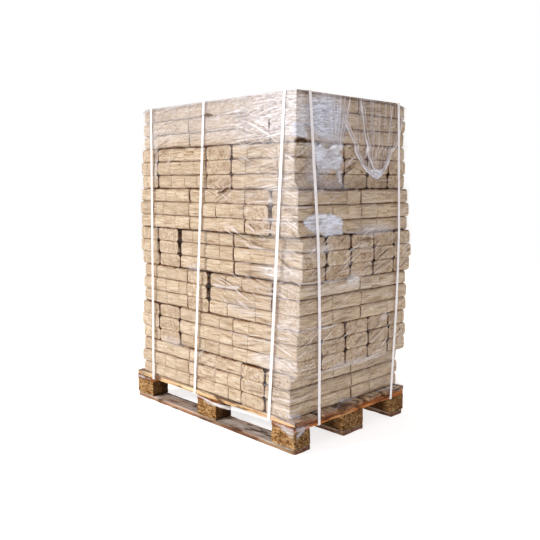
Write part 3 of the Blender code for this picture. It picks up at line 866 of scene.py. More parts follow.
def add_block(name, seed, material):
    """One block of pressed chips."""
    low, high = (np.array(corner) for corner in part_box(name))
    flat, points, faces = worn_box(low, high, BLOCK_CELL, WOOD_EDGE, WOOD_CHIP, BLOCK_ROUGH, seed)
    shape = Shape()
    grain = points - (low + high) / 2 + np.array([seed * 1.3, seed * 0.7, seed * 0.9])
    end = at_ends(flat, low, high, 0)
    inner_end = end & (np.abs(flat[:, 0]) < PALLET_HALF[0] - WOOD_MARGIN)
    side_dirt_and_shade, end_dirt_and_shade, inner_shade = BLOCK_DIRT_AND_SHADE
    # A little dirt on every side, with painted shade inside the pallet and on the blocks' ends
    dirt = np.maximum(inside_pallet(points), side_dirt_and_shade + end_dirt_and_shade * end + inner_shade * inner_end)
    shape.add(points, faces, grain=grain, dirt=dirt)
    add_piece(name + "_chips", shape, material, [name], sharp=40)


def build_pallet(wood, chips):
    """The boards and blocks, each in the place of its solid."""
    for number in (1, 2, 3):
        add_board("bottom_board_%d" % number, 0, *BOTTOM_LOOK, 10 + number, wood)
        add_board("stringer_board_%d" % number, 1, *STRINGER_LOOK, 20 + number, wood)
        for column in (1, 2, 3):
            add_block("block_%d_%d" % (number, column), 30 + 3 * number + column, chips)
    for number in (1, 2, 3, 4, 5):
        add_board("deck_board_%d" % number, 0, *DECK_LOOK, 40 + number, wood)


def add_nail(shape, place, up):
    """The head of one nail: a low dome."""
    angle = np.arange(NAIL_SIDES) * 2 * math.pi / NAIL_SIDES
    profile = ((1.0, NAIL_FOOT), (0.96, 0.3 * NAIL_RISE), (0.62, 0.8 * NAIL_RISE), (0.08, NAIL_RISE))
    rings = [stack(NAIL_RADIUS * share * np.cos(angle), NAIL_RADIUS * share * np.sin(angle) * up, rise * up)
             for share, rise in profile]
    shape.add(np.concatenate(rings) + place, tube_faces(len(rings), NAIL_SIDES))


def build_nails(material):
    """Nails through the deck boards and up through the bottom boards, at every crossing."""
    shape = Shape()
    for boards, count, up in (("deck_board", 5, 1), ("bottom_board", 3, -1)):
        for number in range(1, count + 1):
            low, high = (np.array(corner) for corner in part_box("%s_%d" % (boards, number)))
            for column in (1, 2, 3):
                over = np.array(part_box("stringer_board_%d" % column)).mean(axis=0)
                draw = random.Random(100 * number + column)
                for side in (-1, 1):
                    x = over[0] + side * NAIL_SPACING / 2 + draw.uniform(-NAIL_OFF[0], NAIL_OFF[0])
                    y = (low + high)[1] / 2 + side * (high - low)[1] * NAIL_ACROSS
                    y += draw.uniform(-NAIL_OFF[1], NAIL_OFF[1])
                    add_nail(shape, np.array([x, y, high[2] if up > 0 else low[2]]), up)
    add_piece("nail_heads", shape, material, sharp=60)


def finish_straps(material):
    """The straps stay as they are built and get their finish."""
    for name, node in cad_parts.items():
        if "_strap_" in name:
            for holder in node.material_slots:
                holder.material = material


# The load

def layer_heights(index):
    """The lowest and highest Z of a layer."""
    low = DECK_TOP + REST_GAP + index * LAYER_PITCH
    return low, low + LAYER_PITCH - REST_GAP


def load_top():
    """The Z of the load's top."""
    return layer_heights(TOP_LAYER)[1]


def plan_of(index):
    """A layer's lowest and highest X and Y."""
    y_low, y_high, columns = LAYERS[index]
    return np.array([columns[0][1], columns[-1][2], y_low, y_high])


def packs_of(index):
    """Every pack of a layer as (kind, x_low, x_high, y_low, y_high, column, place across)."""
    y_low, y_high, columns = LAYERS[index]
    packs = []
    for column, (kind, x0, x1) in enumerate(columns):
        shares = PACK_SHARES[kind]
        unit = (y_high - y_low - (len(shares) - 1) * PACK_GAP) / sum(shares)
        y = y_low
        for place, share in enumerate(shares):
            packs.append((kind, x0, x1, y, y + share * unit, column, place))
            y += share * unit + PACK_GAP
    return packs


def shows(index, pack):
    """Whether a pack reaches a side of its layer. On the top layer every pack shows."""
    return index == TOP_LAYER or bool(np.any(np.abs(np.array(pack[1:5]) - plan_of(index)) < AT_EDGE))


def row_shrink(index, pack, row):
    """How far one row of a pack stands back where it faces out."""
    if row == 1:
        return BRICK_INSET
    return BRICK_INSET + random.Random(1000 * index + 50 * pack[5] + 5 * pack[6] + row).uniform(*ROW_SHRINK)


def gap_left(words, gap, row, seed):
    """How wide one row leaves a gap: by its letter where it shows, and by chance elsewhere."""
    letter = words[gap][row] if words else random.Random(seed).choice(GAP_CHANCES)
    return GAP_LEFT[letter]


def row_box(index, pack, row):
    """The corners of one row of a pack. It closes the gaps to the next packs by more or less."""
    kind, x0, x1, y0, y1, column, place = pack
    columns = LAYERS[index][2]
    across = len(PACK_SHARES[kind])
    shrink = row_shrink(index, pack, row)
    on_long = LONG_GAPS[index] if place == 0 else None
    on_short = SHORT_GAPS[index] if column == len(columns) - 1 else None
    reach = []
    for gap in (column - 1, column):
        if 0 <= gap < len(columns) - 1:
            width = columns[gap + 1][1] - columns[gap][2]
            left = gap_left(on_long, gap, row, 900 * index + 30 * gap + row)
            reach.append((width - min(width, left)) / 2)
        else:
            reach.append(-shrink)
    for gap in (place - 1, place):
        if 0 <= gap < across - 1:
            left = gap_left(on_short, gap, row, 7000 + 900 * index + 90 * column + 9 * gap + row)
            reach.append((PACK_GAP - min(PACK_GAP, left)) / 2)
        else:
            reach.append(-shrink)
    z_low, z_high = layer_heights(index)
    pitch = (z_high - z_low) / ROWS_PER_PACK
    low = np.array([x0 - reach[0], y0 - reach[2], z_low + row * pitch + REST_GAP])
    high = np.array([x1 + reach[1], y1 + reach[3], z_low + (row + 1) * pitch - REST_GAP])
    return low, high


def joints_of(low, high, seams, draw):
    """Where the bricks of a row meet and how each joint looks. A seam that shows moves the nearest joint."""
    shares = np.cumsum([0.0] + [draw.uniform(*BRICK_SHARES) for _ in range(BRICKS_PER_ROW)])
    cuts = low + shares / shares[-1] * (high - low)
    kinds = [draw.choice(JOINT_CHANCES) for _ in range(BRICKS_PER_ROW - 1)]
    if seams is not None:
        kinds = ["n"] * (BRICKS_PER_ROW - 1)
    for place, kind in seams or ():
        if low + SEAM_MARGIN < place < high - SEAM_MARGIN:
            nearest = 1 + int(np.argmin(np.abs(cuts[1:-1] - place)))
            cuts[nearest] = place
            kinds[nearest - 1] = kind
    return cuts, kinds


def uneven(points, broad, fine, shift, seed):
    """Broad noise with some finer noise in it."""
    return noise(points * broad + shift, seed) * 0.6 + noise(points * fine, seed + 3) * 0.4


def settle(points):
    """The load's unevenness: it leans in by some millimetres, and sags below its top and at corners."""
    points = np.array(points, float)
    rise = smooth_step(DECK_TOP, DECK_TOP + 0.10, points[:, 2])
    out = np.clip(points[:, :2] / np.array(PALLET_HALF), -1, 1)
    lean = [uneven(points, (9, 9, 11), (22, 22, 20), 3 + 6 * axis, 41 + axis) for axis in (0, 1)]
    sag = uneven(points, (7, 7, 8), (19, 19, 9), 0, 43)
    below_top = 1 - smooth_step(SAG_ENDS, load_top(), points[:, 2])
    for axis in (0, 1):
        points[:, axis] -= out[:, axis] * rise * LEAN * lean[axis]
    points[:, 2] -= rise * below_top * SAG * sag
    x_low, x_high, y_low, y_high = plan_of(TOP_LAYER)
    near_top = smooth_step(*CORNER_SAG_HEIGHTS, points[:, 2])
    for x, y, drop, reach in ((x_low, y_low, CORNER_SAG, CORNER_REACH), (x_high, y_high, FAR_SAG, FAR_REACH),
                              (x_low, y_high, CORNER_SAG, CORNER_REACH)):
        away = np.hypot(points[:, 0] - x, points[:, 1] - y)
        points[:, 2] -= drop * near_top * (1 - smooth_step(0, reach, away))
    return points


def add_brick(shape, kind, low, high, touching, chamfers, tone, draw, fine):
    """One brick between two corners. Its length lies along X in an L pack and along Y in a C pack.

    touching says how strongly it meets a neighbour at each end, each side, below and above, and so how strong
    the painted shade is there.
    """
    low, high = np.array(low), np.array(high)
    along, across = (0, 1) if kind == "L" else (1, 0)
    half = (high - low) / 2
    steps = 4 if fine else 1
    rings = [(-half[along], 0.0), (half[along], 0.0)]
    if fine:
        first, last = chamfers
        rings = [(share * first - half[along], inset * first) for share, inset in CHAMFER_PROFILE]
        rings += [(share * 2 * half[along], 0.0) for share in MIDDLE_RINGS]
        rings += [(half[along] - share * last, inset * last) for share, inset in reversed(CHAMFER_PROFILE)]
    section = []
    for place, inset in rings:
        ring = rounded_section(half[across] - inset, half[2] - inset, BRICK_CORNER, steps)
        section.append(np.column_stack([np.full(len(ring), place), ring]))
    local = np.concatenate(section)
    size = len(section[0])
    place = np.empty_like(local)
    place[:, along] = local[:, 0]
    place[:, across] = local[:, 1] if kind == "L" else -local[:, 1]
    place[:, 2] = local[:, 2]
    # Painted shade where the brick meets its neighbours and along the edges they shut in
    groove = groove_shade_at(place, half, along, across, touching, chamfers)
    behind = np.repeat([0.0] + [1.0] * (len(rings) - 2) + [0.0], size)
    groove = np.maximum(groove, behind * shut_corners(place, half, across, touching))
    if fine:
        bend = draw.uniform(-1, 1) * BRICK_TILT
        place[:, across] += draw.uniform(-1, 1) * BRICK_TILT * local[:, 0]
        place[:, 2] += bend * local[:, 0]
        shake = noise(place * 45 + draw.uniform(0, 900), 5) - 0.5
        place *= 1 + (shake * 2 * BRICK_UNEVEN / half.min())[:, None]
    place += (low + high) / 2
    offset = np.array([draw.uniform(0, 40), draw.uniform(0, 40), draw.uniform(0, 40)])
    ends = [1.0] + [0.0] * (len(rings) - 2) + [1.0]
    shape.add(settle(place), tube_faces(len(rings), size), grain=local + offset, groove=groove,
              tone=tone, pressed=np.repeat(ends, size))


def groove_shade_at(place, half, along, across, touching, chamfers):
    """How strong the painted shade is at each point of a brick, by how deep it lies in the hollows between
    bricks, from 0 to 1.
    """
    levels = [LAYER_REACH if touch == LAYER_LINE else GROOVE_REACH for touch in touching[4:]]
    ends = [END_REACH[0] * chamfer + END_REACH[1] for chamfer in chamfers]
    reaches = (*ends, GROOVE_REACH, GROOVE_REACH, *levels)
    away = [half[axis] + sign * place[:, axis] for axis in (along, across, 2) for sign in (1, -1)]
    deep = [touch * np.exp(-np.maximum(gap, 0) / reach) for touch, gap, reach in zip(touching, away, reaches)]
    return np.max(deep, axis=0)


def shut_corners(place, half, across, touching):
    """1 along the rounded edges of a brick that neighbours on both sides shut in, and 0 elsewhere: there the
    painted shade is full.
    """
    edge = half - BRICK_CORNER
    shut = np.zeros(len(place))
    for side in (0, 1):
        for level in (0, 1):
            here = place[:, across] * (2 * side - 1) > edge[across]
            here &= place[:, 2] * (2 * level - 1) > edge[2]
            if touching[2 + side] > 0 and touching[4 + level] > 0:
                shut[here] = 1.0
    return shut


def add_row(shape, index, pack, row):
    """Four bricks end to end, none quite as long as the next."""
    kind, column, place = pack[0], pack[5], pack[6]
    fine = shows(index, pack)
    draw = random.Random(7000 * index + 350 * column + 35 * place + row)
    low, high = row_box(index, pack, row)
    along, across = (0, 1) if kind == "L" else (1, 0)
    shut = [float(abs(pack[1 + side] - plan_of(index)[side]) > AT_EDGE) for side in range(4)]
    last = len(LAYERS[index][2]) - 1
    # Where a gap is open or half open, its lit wall gets less painted shade
    if place == 0 and column < last and LONG_GAPS[index][column][row] in "oh":
        shut[1] = LIT_WALL
    if place > 0 and column == last and SHORT_GAPS[index][place - 1][row] in "oh":
        shut[2] = LIT_WALL
    seams = None
    if kind == "L" and place == 0:
        seams = LONG_SEAMS[index][row]
    if kind == "C" and column == last:
        seams = SHORT_SEAMS[index][row]
    cuts, kinds = joints_of(low[along], high[along], seams, draw)
    end = (draw.uniform(0, END_SHORTER), END_CHAMFER)
    joints = [(*end, shut[2 * along])] + [JOINTS[letter] for letter in kinds] + [(*end, shut[2 * along + 1])]
    top_row = index == TOP_LAYER and row == ROWS_PER_PACK - 1
    row_tone = draw.random()
    row_line = ROW_LINE_SHORT if column == last else ROW_LINE
    for brick in range(BRICKS_PER_ROW):
        one_low, one_high = low.copy(), high.copy()
        before, after = joints[brick], joints[brick + 1]
        one_low[along] = cuts[brick] + before[0]
        one_high[along] = cuts[brick + 1] - after[0]
        one_low[across] += draw.uniform(0.0, BRICK_NARROWER)
        one_high[across] -= draw.uniform(0.0, BRICK_NARROWER)
        # How strong the painted shade is below and above the row: full between layers
        lines = [LAYER_LINE if row == 0 else draw.uniform(*row_line),
                 LAYER_LINE if row == ROWS_PER_PACK - 1 else draw.uniform(*row_line)]
        if top_row:
            lines[1] = 0.0
        touching = (before[2], after[2], shut[2 * across], shut[2 * across + 1], *lines)
        tone = 0.65 * row_tone + 0.35 * draw.random()
        add_brick(shape, kind, one_low, one_high, touching, (before[1], after[1]), tone, draw, fine)


def build_load(material):
    """The bricks of each layer."""
    for index in range(len(LAYERS)):
        shape = Shape()
        for pack in packs_of(index):
            for row in range(ROWS_PER_PACK):
                add_row(shape, index, pack, row)
        name = "bricks_layer_%d" % (index + 1)
        add_piece(name, shape, material, ["pack_layer_%d" % (index + 1)])


# The packs' own film

def shell_wrinkles(points, low, high, kind, seed):
    """How far a pack's film stands out: creases across the pack, more of them near its ends."""
    along = 0 if kind == "L" else 1
    middle = (low[along] + high[along]) / 2
    half = (high[along] - low[along]) / 2
    near_end = smooth_step(0.55, 1.0, np.abs(points[:, along] - middle) / half)
    stretch = np.where(np.arange(3) == along, 9.0, 26.0)
    across = ridges(points * stretch + seed * 3.1, seed)
    fine = noise(points * 60 + seed * 1.7, seed + 1)
    return PACK_FILM_CREASE * (across * 0.7 + fine * near_end * 0.6)


def add_pack_film(shape, index, pack, seed):
    """The thin film drawn round one pack. It is glossy where it faces out, and not in the gaps."""
    rows = [row_box(index, pack, row) for row in range(ROWS_PER_PACK)]
    z_low, z_high = layer_heights(index)
    low = np.min([box[0] for box in rows], axis=0) - PACK_FILM_EASE
    high = np.max([box[1] for box in rows], axis=0) + PACK_FILM_EASE
    low[2], high[2] = z_low + PACK_FILM_EASE, z_high - PACK_FILM_EASE
    points, faces = box_shell(low, high, PACK_FILM_CELL, PACK_FILM_CORNER)
    facing_out = np.zeros(len(points))
    for side in range(4):
        wall = (low, high)[side % 2][side // 2]
        if abs(pack[1 + side] - plan_of(index)[side]) < AT_EDGE:
            facing_out = np.maximum(facing_out, np.abs(points[:, side // 2] - wall) < 1e-6)
    if index == TOP_LAYER:
        facing_out = np.maximum(facing_out, np.abs(points[:, 2] - high[2]) < 1e-6)
    middle = (low + high) / 2
    depth = shell_wrinkles(points, low, high, pack[0], seed)[:, None]
    points = rounded_box(points, low, high, PACK_FILM_CORNER)
    points = middle + (points - middle) * (1 - depth / ((high - low) / 2))
    shape.add(settle(points), faces, flow=points + seed, facing_out=facing_out)


def build_pack_film(material):
    """The packs' film, one piece for each layer."""
    for index in range(len(LAYERS)):
        shape = Shape()
        for number, pack in enumerate(packs_of(index)):
            if shows(index, pack):
                add_pack_film(shape, index, pack, 20 * index + number)
        add_piece("pack_film_layer_%d" % (index + 1), shape, material, sharp=80)


# The stretch film

def film_rings():
    """The film's plan from bottom to top, as (plan, z)."""
    deck = np.array([-PALLET_HALF[0], PALLET_HALF[0], -PALLET_HALF[1], PALLET_HALF[1]])
    rings = [(deck, FILM_BOTTOM), (deck, DECK_TOP + REST_GAP)]
    for index in range(len(LAYERS)):
        plan = plan_of(index)
        z_low, z_high = layer_heights(index)
        if index > 0:
            rings.append((joined(plan, plan_of(index - 1)), z_low + FILM_HOLD))
        rings.append((plan, z_low + FILM_EASE))
        if index < TOP_LAYER:
            rings.append((plan, z_high - FILM_EASE))
            rings.append((joined(plan, plan_of(index + 1)), z_high - FILM_HOLD))
    rings.append((plan_of(TOP_LAYER), load_top()))
    return rings


def joined(first, second):
    """The plan that holds two plans."""
    low, high = np.minimum(first, second), np.maximum(first, second)
    return np.array([low[0], high[1], low[2], high[3]])


def film_plan(z, offset):
    """The film's plan at each height, as four columns."""
    plans, heights = zip(*film_rings())
    grown = np.array(plans) + offset * np.array([-1, 1, -1, 1])
    return np.column_stack([np.interp(z, heights, grown[:, side]) for side in range(4)])


def round_the_load(plan):
    """Places round the load at one plan: point, outward direction, side number and distance round."""
    x0, x1, y0, y1 = plan
    corners = [(x0, y0), (x1, y0), (x1, y1), (x0, y1)]
    counts = [FILM_COLUMNS_LONG, FILM_COLUMNS_SHORT] * 2
    places = []
    start = 0.0
    for side in range(4):
        (ax, ay), (bx, by) = corners[side], corners[(side + 1) % 4]
        length = math.hypot(bx - ax, by - ay)
        dx, dy = (bx - ax) / length, (by - ay) / length
        for t in np.linspace(FILM_CORNER, length - FILM_CORNER, counts[side]):
            places.append((ax + dx * t, ay + dy * t, dy, -dx, side, start + t))
        for step in (1, 2, 3):
            angle = step * math.pi / 8
            nx = dy * math.cos(angle) + dx * math.sin(angle)
            ny = -dx * math.cos(angle) + dy * math.sin(angle)
            cx = bx - dx * FILM_CORNER - dy * FILM_CORNER
            cy = by - dy * FILM_CORNER + dx * FILM_CORNER
            places.append((cx + nx * FILM_CORNER, cy + ny * FILM_CORNER, nx, ny, side,
                           start + length - FILM_CORNER + step * FILM_CORNER / 2))
        start += length
    return np.array(places)


def under_straps(side, x, y, z):
    """1 where a strap presses the film to the load, and 0 away from the straps."""
    share = (z - FILM_BOTTOM) / (load_top() - FILM_BOTTOM)
    pressed = np.zeros_like(z)
    for sides, straps, along in (((0, 2), STRAPS_ON_LONG_SIDE, x), ((1, 3), STRAPS_ON_SHORT_SIDE, y)):
        for bottom, top in straps:
            away = np.abs(along - (bottom + (top - bottom) * share))
            near = 1 - smooth_step(STRAP_REACH * 0.7, STRAP_REACH * 1.6, away)
            pressed = np.maximum(pressed, np.isin(side, sides) * near)
    return pressed


def film_wrinkles(s, z):
    """How far the stretch film stands out from the load, before the straps press on it."""
    flow = stack(s, z, 0)
    broad = noise(flow * (7, 10, 1), 11)
    level = stack(s * 2.2 + z * 0.4, (z - s * 0.10) * 44, 0)
    steep = stack((s + z * 0.55) * 3.0, (z * 0.83 - s * 0.55) * 36, 4)
    where_level = smooth_step(0.40, 0.65, noise(flow * (3.5, 5, 1), 12))
    where_steep = smooth_step(0.45, 0.70, noise(flow * (4.2, 4.2, 1) + 7, 13))
    where_gathered = smooth_step(*FILM_GATHER, z)
    upright = stack(s * 40, z * 3, 9)
    forms = (broad, ridges(level, 14) * where_level, ridges(steep, 15) * where_steep,
             ridges(upright, 16) * where_gathered)
    return sum(height * form for height, form in zip(FILM_RELIEF, forms))


def build_wrap(material):
    """The stretch film wound round the load."""
    rows = int(round((load_top() - FILM_BOTTOM) / FILM_CELL)) + 1
    heights = np.linspace(FILM_BOTTOM, load_top() + FILM_OFFSET, rows)
    grid = []
    for z, plan in zip(heights, film_plan(heights, FILM_OFFSET)):
        places = round_the_load(plan)
        s, side = places[:, 5], places[:, 4].astype(int)
        level = np.full_like(s, z)
        out = film_wrinkles(s, level) * (1 - under_straps(side, places[:, 0], places[:, 1], level))
        moved = places[:, :2] + places[:, 2:4] * out[:, None]
        grid.append((np.column_stack([moved, level]), s, side))
    points, s, side = (np.concatenate(parts) for parts in zip(*grid))
    u = np.where(side % 2 == 0, points[:, 0], points[:, 1])
    flow = stack(s, points[:, 2], 0)
    values = film_zones(side, u, points[:, 2])
    below = np.clip(DECK_TOP - points[:, 2], 0, None)
    points[:, 2] += below * (HEM_WAVE * noise(stack(s * 7, 0, 0), 23) - HEM_DROP)
    edge, edge_s, _ = grid[-1]
    shape = Shape()
    shape.add(settle(points), sheet_faces(rows, len(edge), closed=True), flow=flow, **values)
    add_lip(shape, edge, edge_s, load_top() + FILM_OFFSET)
    add_piece("stretch_wrap", shape, material, ["stretch_film"], sharp=80)


def add_lip(shape, edge, s, top):
    """The film's upper edge, folded in over the load."""
    depth = FILM_LIP * (0.75 + 0.5 * noise(stack(s * 6, 0, 0), 21))
    low = edge[:, :2].min(0) + AT_EDGE
    high = edge[:, :2].max(0) - AT_EDGE
    rows = []
    for step in range(LIP_STEPS):
        move = (depth * step / (LIP_STEPS - 1))[:, None]
        place = np.clip(edge[:, :2], low + move, high - move) if step else edge[:, :2]
        ripple = LIP_RIPPLE * ridges(stack(s * 34, step * 0.2, 0), 22) * (step > 0)
        rows.append(np.column_stack([place, top + ripple]))
    points = np.concatenate(rows)
    steps = np.repeat(np.arange(LIP_STEPS), len(s))
    flow = stack(np.tile(s, LIP_STEPS), points[:, 2] + steps * 0.01, 0)
    dark = np.choose(np.minimum(steps, 2), [0.7, 0.35, 0.0])
    values = film_values(haze=0.06, level=0.5, rising=0.3, cool=0.3, dark=dark)
    shape.add(settle(points), sheet_faces(LIP_STEPS, len(s), closed=True), flow=flow, **values)


def on_film(side, u, z, out):
    """Points that stand out from the film by some distance. They turn the near corner where they pass it."""
    u, z = np.asarray(u, float), np.asarray(z, float)
    out = np.broadcast_to(out, u.shape)
    plan = film_plan(z, FILM_OFFSET)
    x_end, y_end = plan[:, 1], plan[:, 2]
    if side == "long":
        past = np.maximum(u - x_end, 0)
        x = np.minimum(u, x_end) + np.where(past > 0, out, 0)
        y = y_end + past - np.where(past > 0, 0, out)
    else:
        past = np.maximum(y_end - u, 0)
        x = x_end - past + np.where(past > 0, 0, out)
        y = np.maximum(u, y_end) - np.where(past > 0, out, 0)
    return settle(stack(x, y, z))


def inside(outline, u, z):
    """Whether each place lies inside an outline."""
    corners = np.array(outline)
    found = np.zeros(np.shape(u), bool)
    for (u0, z0), (u1, z1) in zip(corners, np.roll(corners, -1, axis=0)):
        crosses = (z0 > z) != (z1 > z)
        with np.errstate(divide="ignore", invalid="ignore"):
            edge = u0 + (z - z0) * (u1 - u0) / (z1 - z0)
        found ^= crosses & (u < edge)
    return found


def smooth_path(points, step):
    """A smooth curve through some points, with a place at about every step."""
    points = np.array(points, float)
    ends = np.concatenate([[2 * points[0] - points[1]], points, [2 * points[-1] - points[-2]]])
    path = []
    for a, b, c, d in zip(ends, ends[1:], ends[2:], ends[3:]):
        count = max(2, int(np.linalg.norm(c - b) / step))
        t = (np.arange(count) / count)[:, None]
        path.append(0.5 * (2 * b + (c - a) * t + (2 * a - 5 * b + 4 * c - d) * t ** 2
                           + (3 * b - a - 3 * c + d) * t ** 3))
    path.append(points[-1:])
    return np.concatenate(path)


def crumple(u, z, seed):
    """Creases of crushed film, from 0 to 1. They run mostly level."""
    bent = noise(stack(u * 14, z * 14, seed), seed + 5) - 0.5
    coarse = ridges(stack((u + 0.4 * z) * 10 + bent * 2, (z - 0.25 * u) * 52 + bent * 2, 0), seed, 1.6)
    fine = ridges(stack((u - 0.5 * z) * 30, (z + 0.3 * u) * 96 + bent * 3, 0), seed + 1, 1.6)
    return 0.55 * coarse + 0.45 * fine


def edge_distance(outline, u, z):
    """How far each place is from an outline."""
    nearest = np.full(u.shape, 9.0)
    corners = np.array(outline)
    for a, b in zip(corners, np.roll(corners, -1, axis=0)):
        along = b - a
        share = ((u - a[0]) * along[0] + (z - a[1]) * along[1]) / (along @ along)
        share = np.clip(share, 0, 1)
        nearest = np.minimum(nearest, np.hypot(u - a[0] - share * along[0], z - a[1] - share * along[1]))
    return nearest


def add_scrap(shape, side, milk, soft, lift, outline, seed):
    """A creased piece of film that fades out toward its edge."""
    corners = np.array(outline)
    (u0, z0), (u1, z1) = corners.min(0), corners.max(0)
    u, z = np.meshgrid(np.arange(u0, u1 + SCRAP_CELL, SCRAP_CELL),
                       np.arange(z0, z1 + SCRAP_CELL, SCRAP_CELL), indexing="ij")
    faces = sheet_faces(*u.shape)
    u, z = u.ravel(), z.ravel()
    faces = faces[inside(outline, u[faces].mean(1), z[faces].mean(1))]
    kept, faces = np.unique(faces, return_inverse=True)
    u, z = u[kept], z[kept]
    creases = crumple(u, z, seed)
    torn = noise(stack(u * 60, z * 60, 0), seed) * 0.8 * soft
    fade = smooth_step(0, soft, edge_distance(outline, u, z) * inside(outline, u, z) - torn)
    out = SCRAP_LIFT + lift * creases
    cloudy = 0.62 + 0.5 * noise(stack(u * 22, z * 34, 0), seed + 3)
    haze = np.clip(milk * fade * cloudy * (0.85 + 0.3 * creases), 0, 0.92)
    flow = stack(u * 0.5, z * 0.5, seed)
    values = film_values(haze=haze, level=0.35 * fade, rising=0.25 * fade,
                         cool=0.75 if side == "short" else 0.1)
    shape.add(on_film(side, u, z, out), faces.reshape(-1, 4), flow=flow, **values)


def add_fold(shape, side, milk, width, path, seed, dark=0.0):
    """A narrow gathered band of film, milky or dark (a tear or a painted shadow), clearest along its middle.
    """
    path = smooth_path(path, 0.006)
    length = np.concatenate([[0], np.cumsum(np.linalg.norm(np.diff(path, axis=0), axis=1))])
    forward = np.gradient(path, axis=0)
    forward /= np.linalg.norm(forward, axis=1, keepdims=True)
    taper = smooth_step(0, 0.012, length) * smooth_step(0, 0.03, length[-1] - length)
    lumps = 0.6 + 0.8 * noise(stack(length * 30, 0, seed), seed)
    half = width * 0.8 * (0.4 + 0.6 * taper) * lumps
    strong = taper * (0.55 + 0.8 * noise(stack(length * 22, 0, seed), seed + 1))
    rows, shares, flows = [], [], []
    for across in np.linspace(-1, 1, FOLD_STEPS):
        aside = across * half
        out = FOLD_LIFT + (1 - across ** 2) * half * 0.45
        place = path + stack(-forward[:, 1], forward[:, 0]) * aside[:, None]
        rows.append(on_film(side, place[:, 0], place[:, 1], out))
        shares.append(strong * (1 - abs(across) ** 1.5))
        flows.append(stack(length, aside * 2.0, seed))
    share = np.clip(np.concatenate(shares), 0, 1)
    values = film_values(haze=milk * share, dark=dark * share, level=0.7 * (milk > 0),
                         cool=0.35 if side == "short" else 0.05)
    faces = sheet_faces(FOLD_STEPS, len(path))
    shape.add(np.concatenate(rows), faces, flow=np.concatenate(flows), **values)


def add_tear(shape, side, dark, width, path, seed):
    """A dark tear, or a painted shadow along a crease or a layer edge."""
    add_fold(shape, side, 0.0, width, path, seed, dark)


def add_drape(shape):
    """Film gathered at its hem, which hangs from the top edge of the short side."""
    hem = smooth_path(DRAPE_HEM, 0.004)
    share = np.tile(np.linspace(0, 1, len(hem)), DRAPE_ROWS)
    down = np.repeat(np.linspace(0, 1, DRAPE_ROWS), len(hem))
    top = stack(DRAPE_TOP[0] + (DRAPE_TOP[1] - DRAPE_TOP[0]) * share, DRAPE_TOP[2])
    place = top * (1 - down[:, None]) + np.tile(hem, (DRAPE_ROWS, 1)) * down[:, None]
    wave = ridges(stack(share * DRAPE_PLEATS + down * 0.6, down * 1.3, 0), 61, 2.2)
    small = ridges(stack(share * DRAPE_PLEATS * 2.7, down * 2.0, 5), 62)
    crest = np.maximum(wave, 0.7 * small)
    out = DRAPE_LIFT + DRAPE_FOLD * crest * (0.35 + 0.65 * down)
    haze = 0.05 + 0.26 * crest ** 3 * (0.4 + 0.6 * down) + 0.20 * smooth_step(0.88, 1.0, down)
    values = film_values(haze=haze, upright=0.65, cool=0.35)
    points = on_film("short", place[:, 0], place[:, 1], out)
    flow = stack(share * 0.5, down * 0.05, 0)
    shape.add(points, sheet_faces(DRAPE_ROWS, len(hem)), flow=flow, **values)


def build_loose_film(material):
    """Torn, gathered and hanging film on the sides that show."""
    kinds = {"scraps": ((SCRAPS, add_scrap, 100),), "skirt": ((SKIRT, add_scrap, 300),),
             "folds": ((FOLDS, add_fold, 200), (TEARS, add_tear, 250))}
    for side in ("short", "long"):
        for name in ("scraps", "folds", "skirt"):
            shape = Shape()
            for table, add, seed in kinds[name]:
                for number, (where, *rest) in enumerate(table):
                    if where == side:
                        add(shape, side, *rest, seed + number)
            add_piece("film_%s_%s_side" % (name, side), shape, material, sharp=80)
    drape = Shape()
    add_drape(drape)
    add_piece("film_drape", drape, material, sharp=80)


def film_values(haze=0.0, level=0.0, rising=0.0, falling=0.0, upright=0.0, cool=0.0, dark=0.0):
    """What film shows at each point, under the names its material reads."""
    return {"haze": haze, "level": level, "rising": rising, "falling": falling, "upright": upright,
            "cool": cool, "dark": dark}


def film_zones(side, u, z):
    """What the stretch film shows at each point of the sides. The far sides show a little of each."""
    on = {"long": side == 0, "short": side == 1}
    values = {"haze": np.zeros(len(u)), "cool": np.where(on["short"], 0.10, 0.05)}
    for number, (what, amount) in enumerate(LINES_EVERYWHERE.items()):
        patchy = smooth_step(0.30, 0.70, noise(stack(u * 5, z * 6, side * 7.0), 31 + number))
        values[what] = amount * (0.3 + 1.4 * patchy) * np.where(on["long"], 0.3, 0.9)
    high = smooth_step(*TOWARD_TOP, z)
    right = smooth_step(*TOWARD_CORNER, u)
    values["level"] += on["long"] * (0.62 * right + 0.25 * high)
    values["haze"] += on["long"] * 0.16 * smooth_step(0.35, 0.55, u)
    values["haze"] += on["long"] * 0.16 * right * smooth_step(0.95, 1.20, z)
    values["haze"] += on["long"] * high * (0.28 + 0.08 * smooth_step(-0.1, 0.35, u))
    values["cool"] += on["long"] * high * 0.15
    for (where, what), places in ZONES.items():
        for *place, amount in places:
            values[what] = np.maximum(values[what], on[where] * amount * spot(u, z, *place))
    plan = film_plan(z, 0.0)
    away = np.choose(side, [u - plan[:, 0], plan[:, 3] - u, plan[:, 1] - u, u - plan[:, 2]])
    off_corner = smooth_step(*FILM_CORNER_CLEAR, away)
    for what in ("haze", "level", "rising", "falling", "upright"):
        values[what] = values[what] * off_corner
    rim = smooth_step(load_top() - FILM_RIM[0], load_top() - FILM_RIM[1], z) * off_corner
    return film_values(dark=rim * np.where(on["short"], 0.95, 0.45), **values)


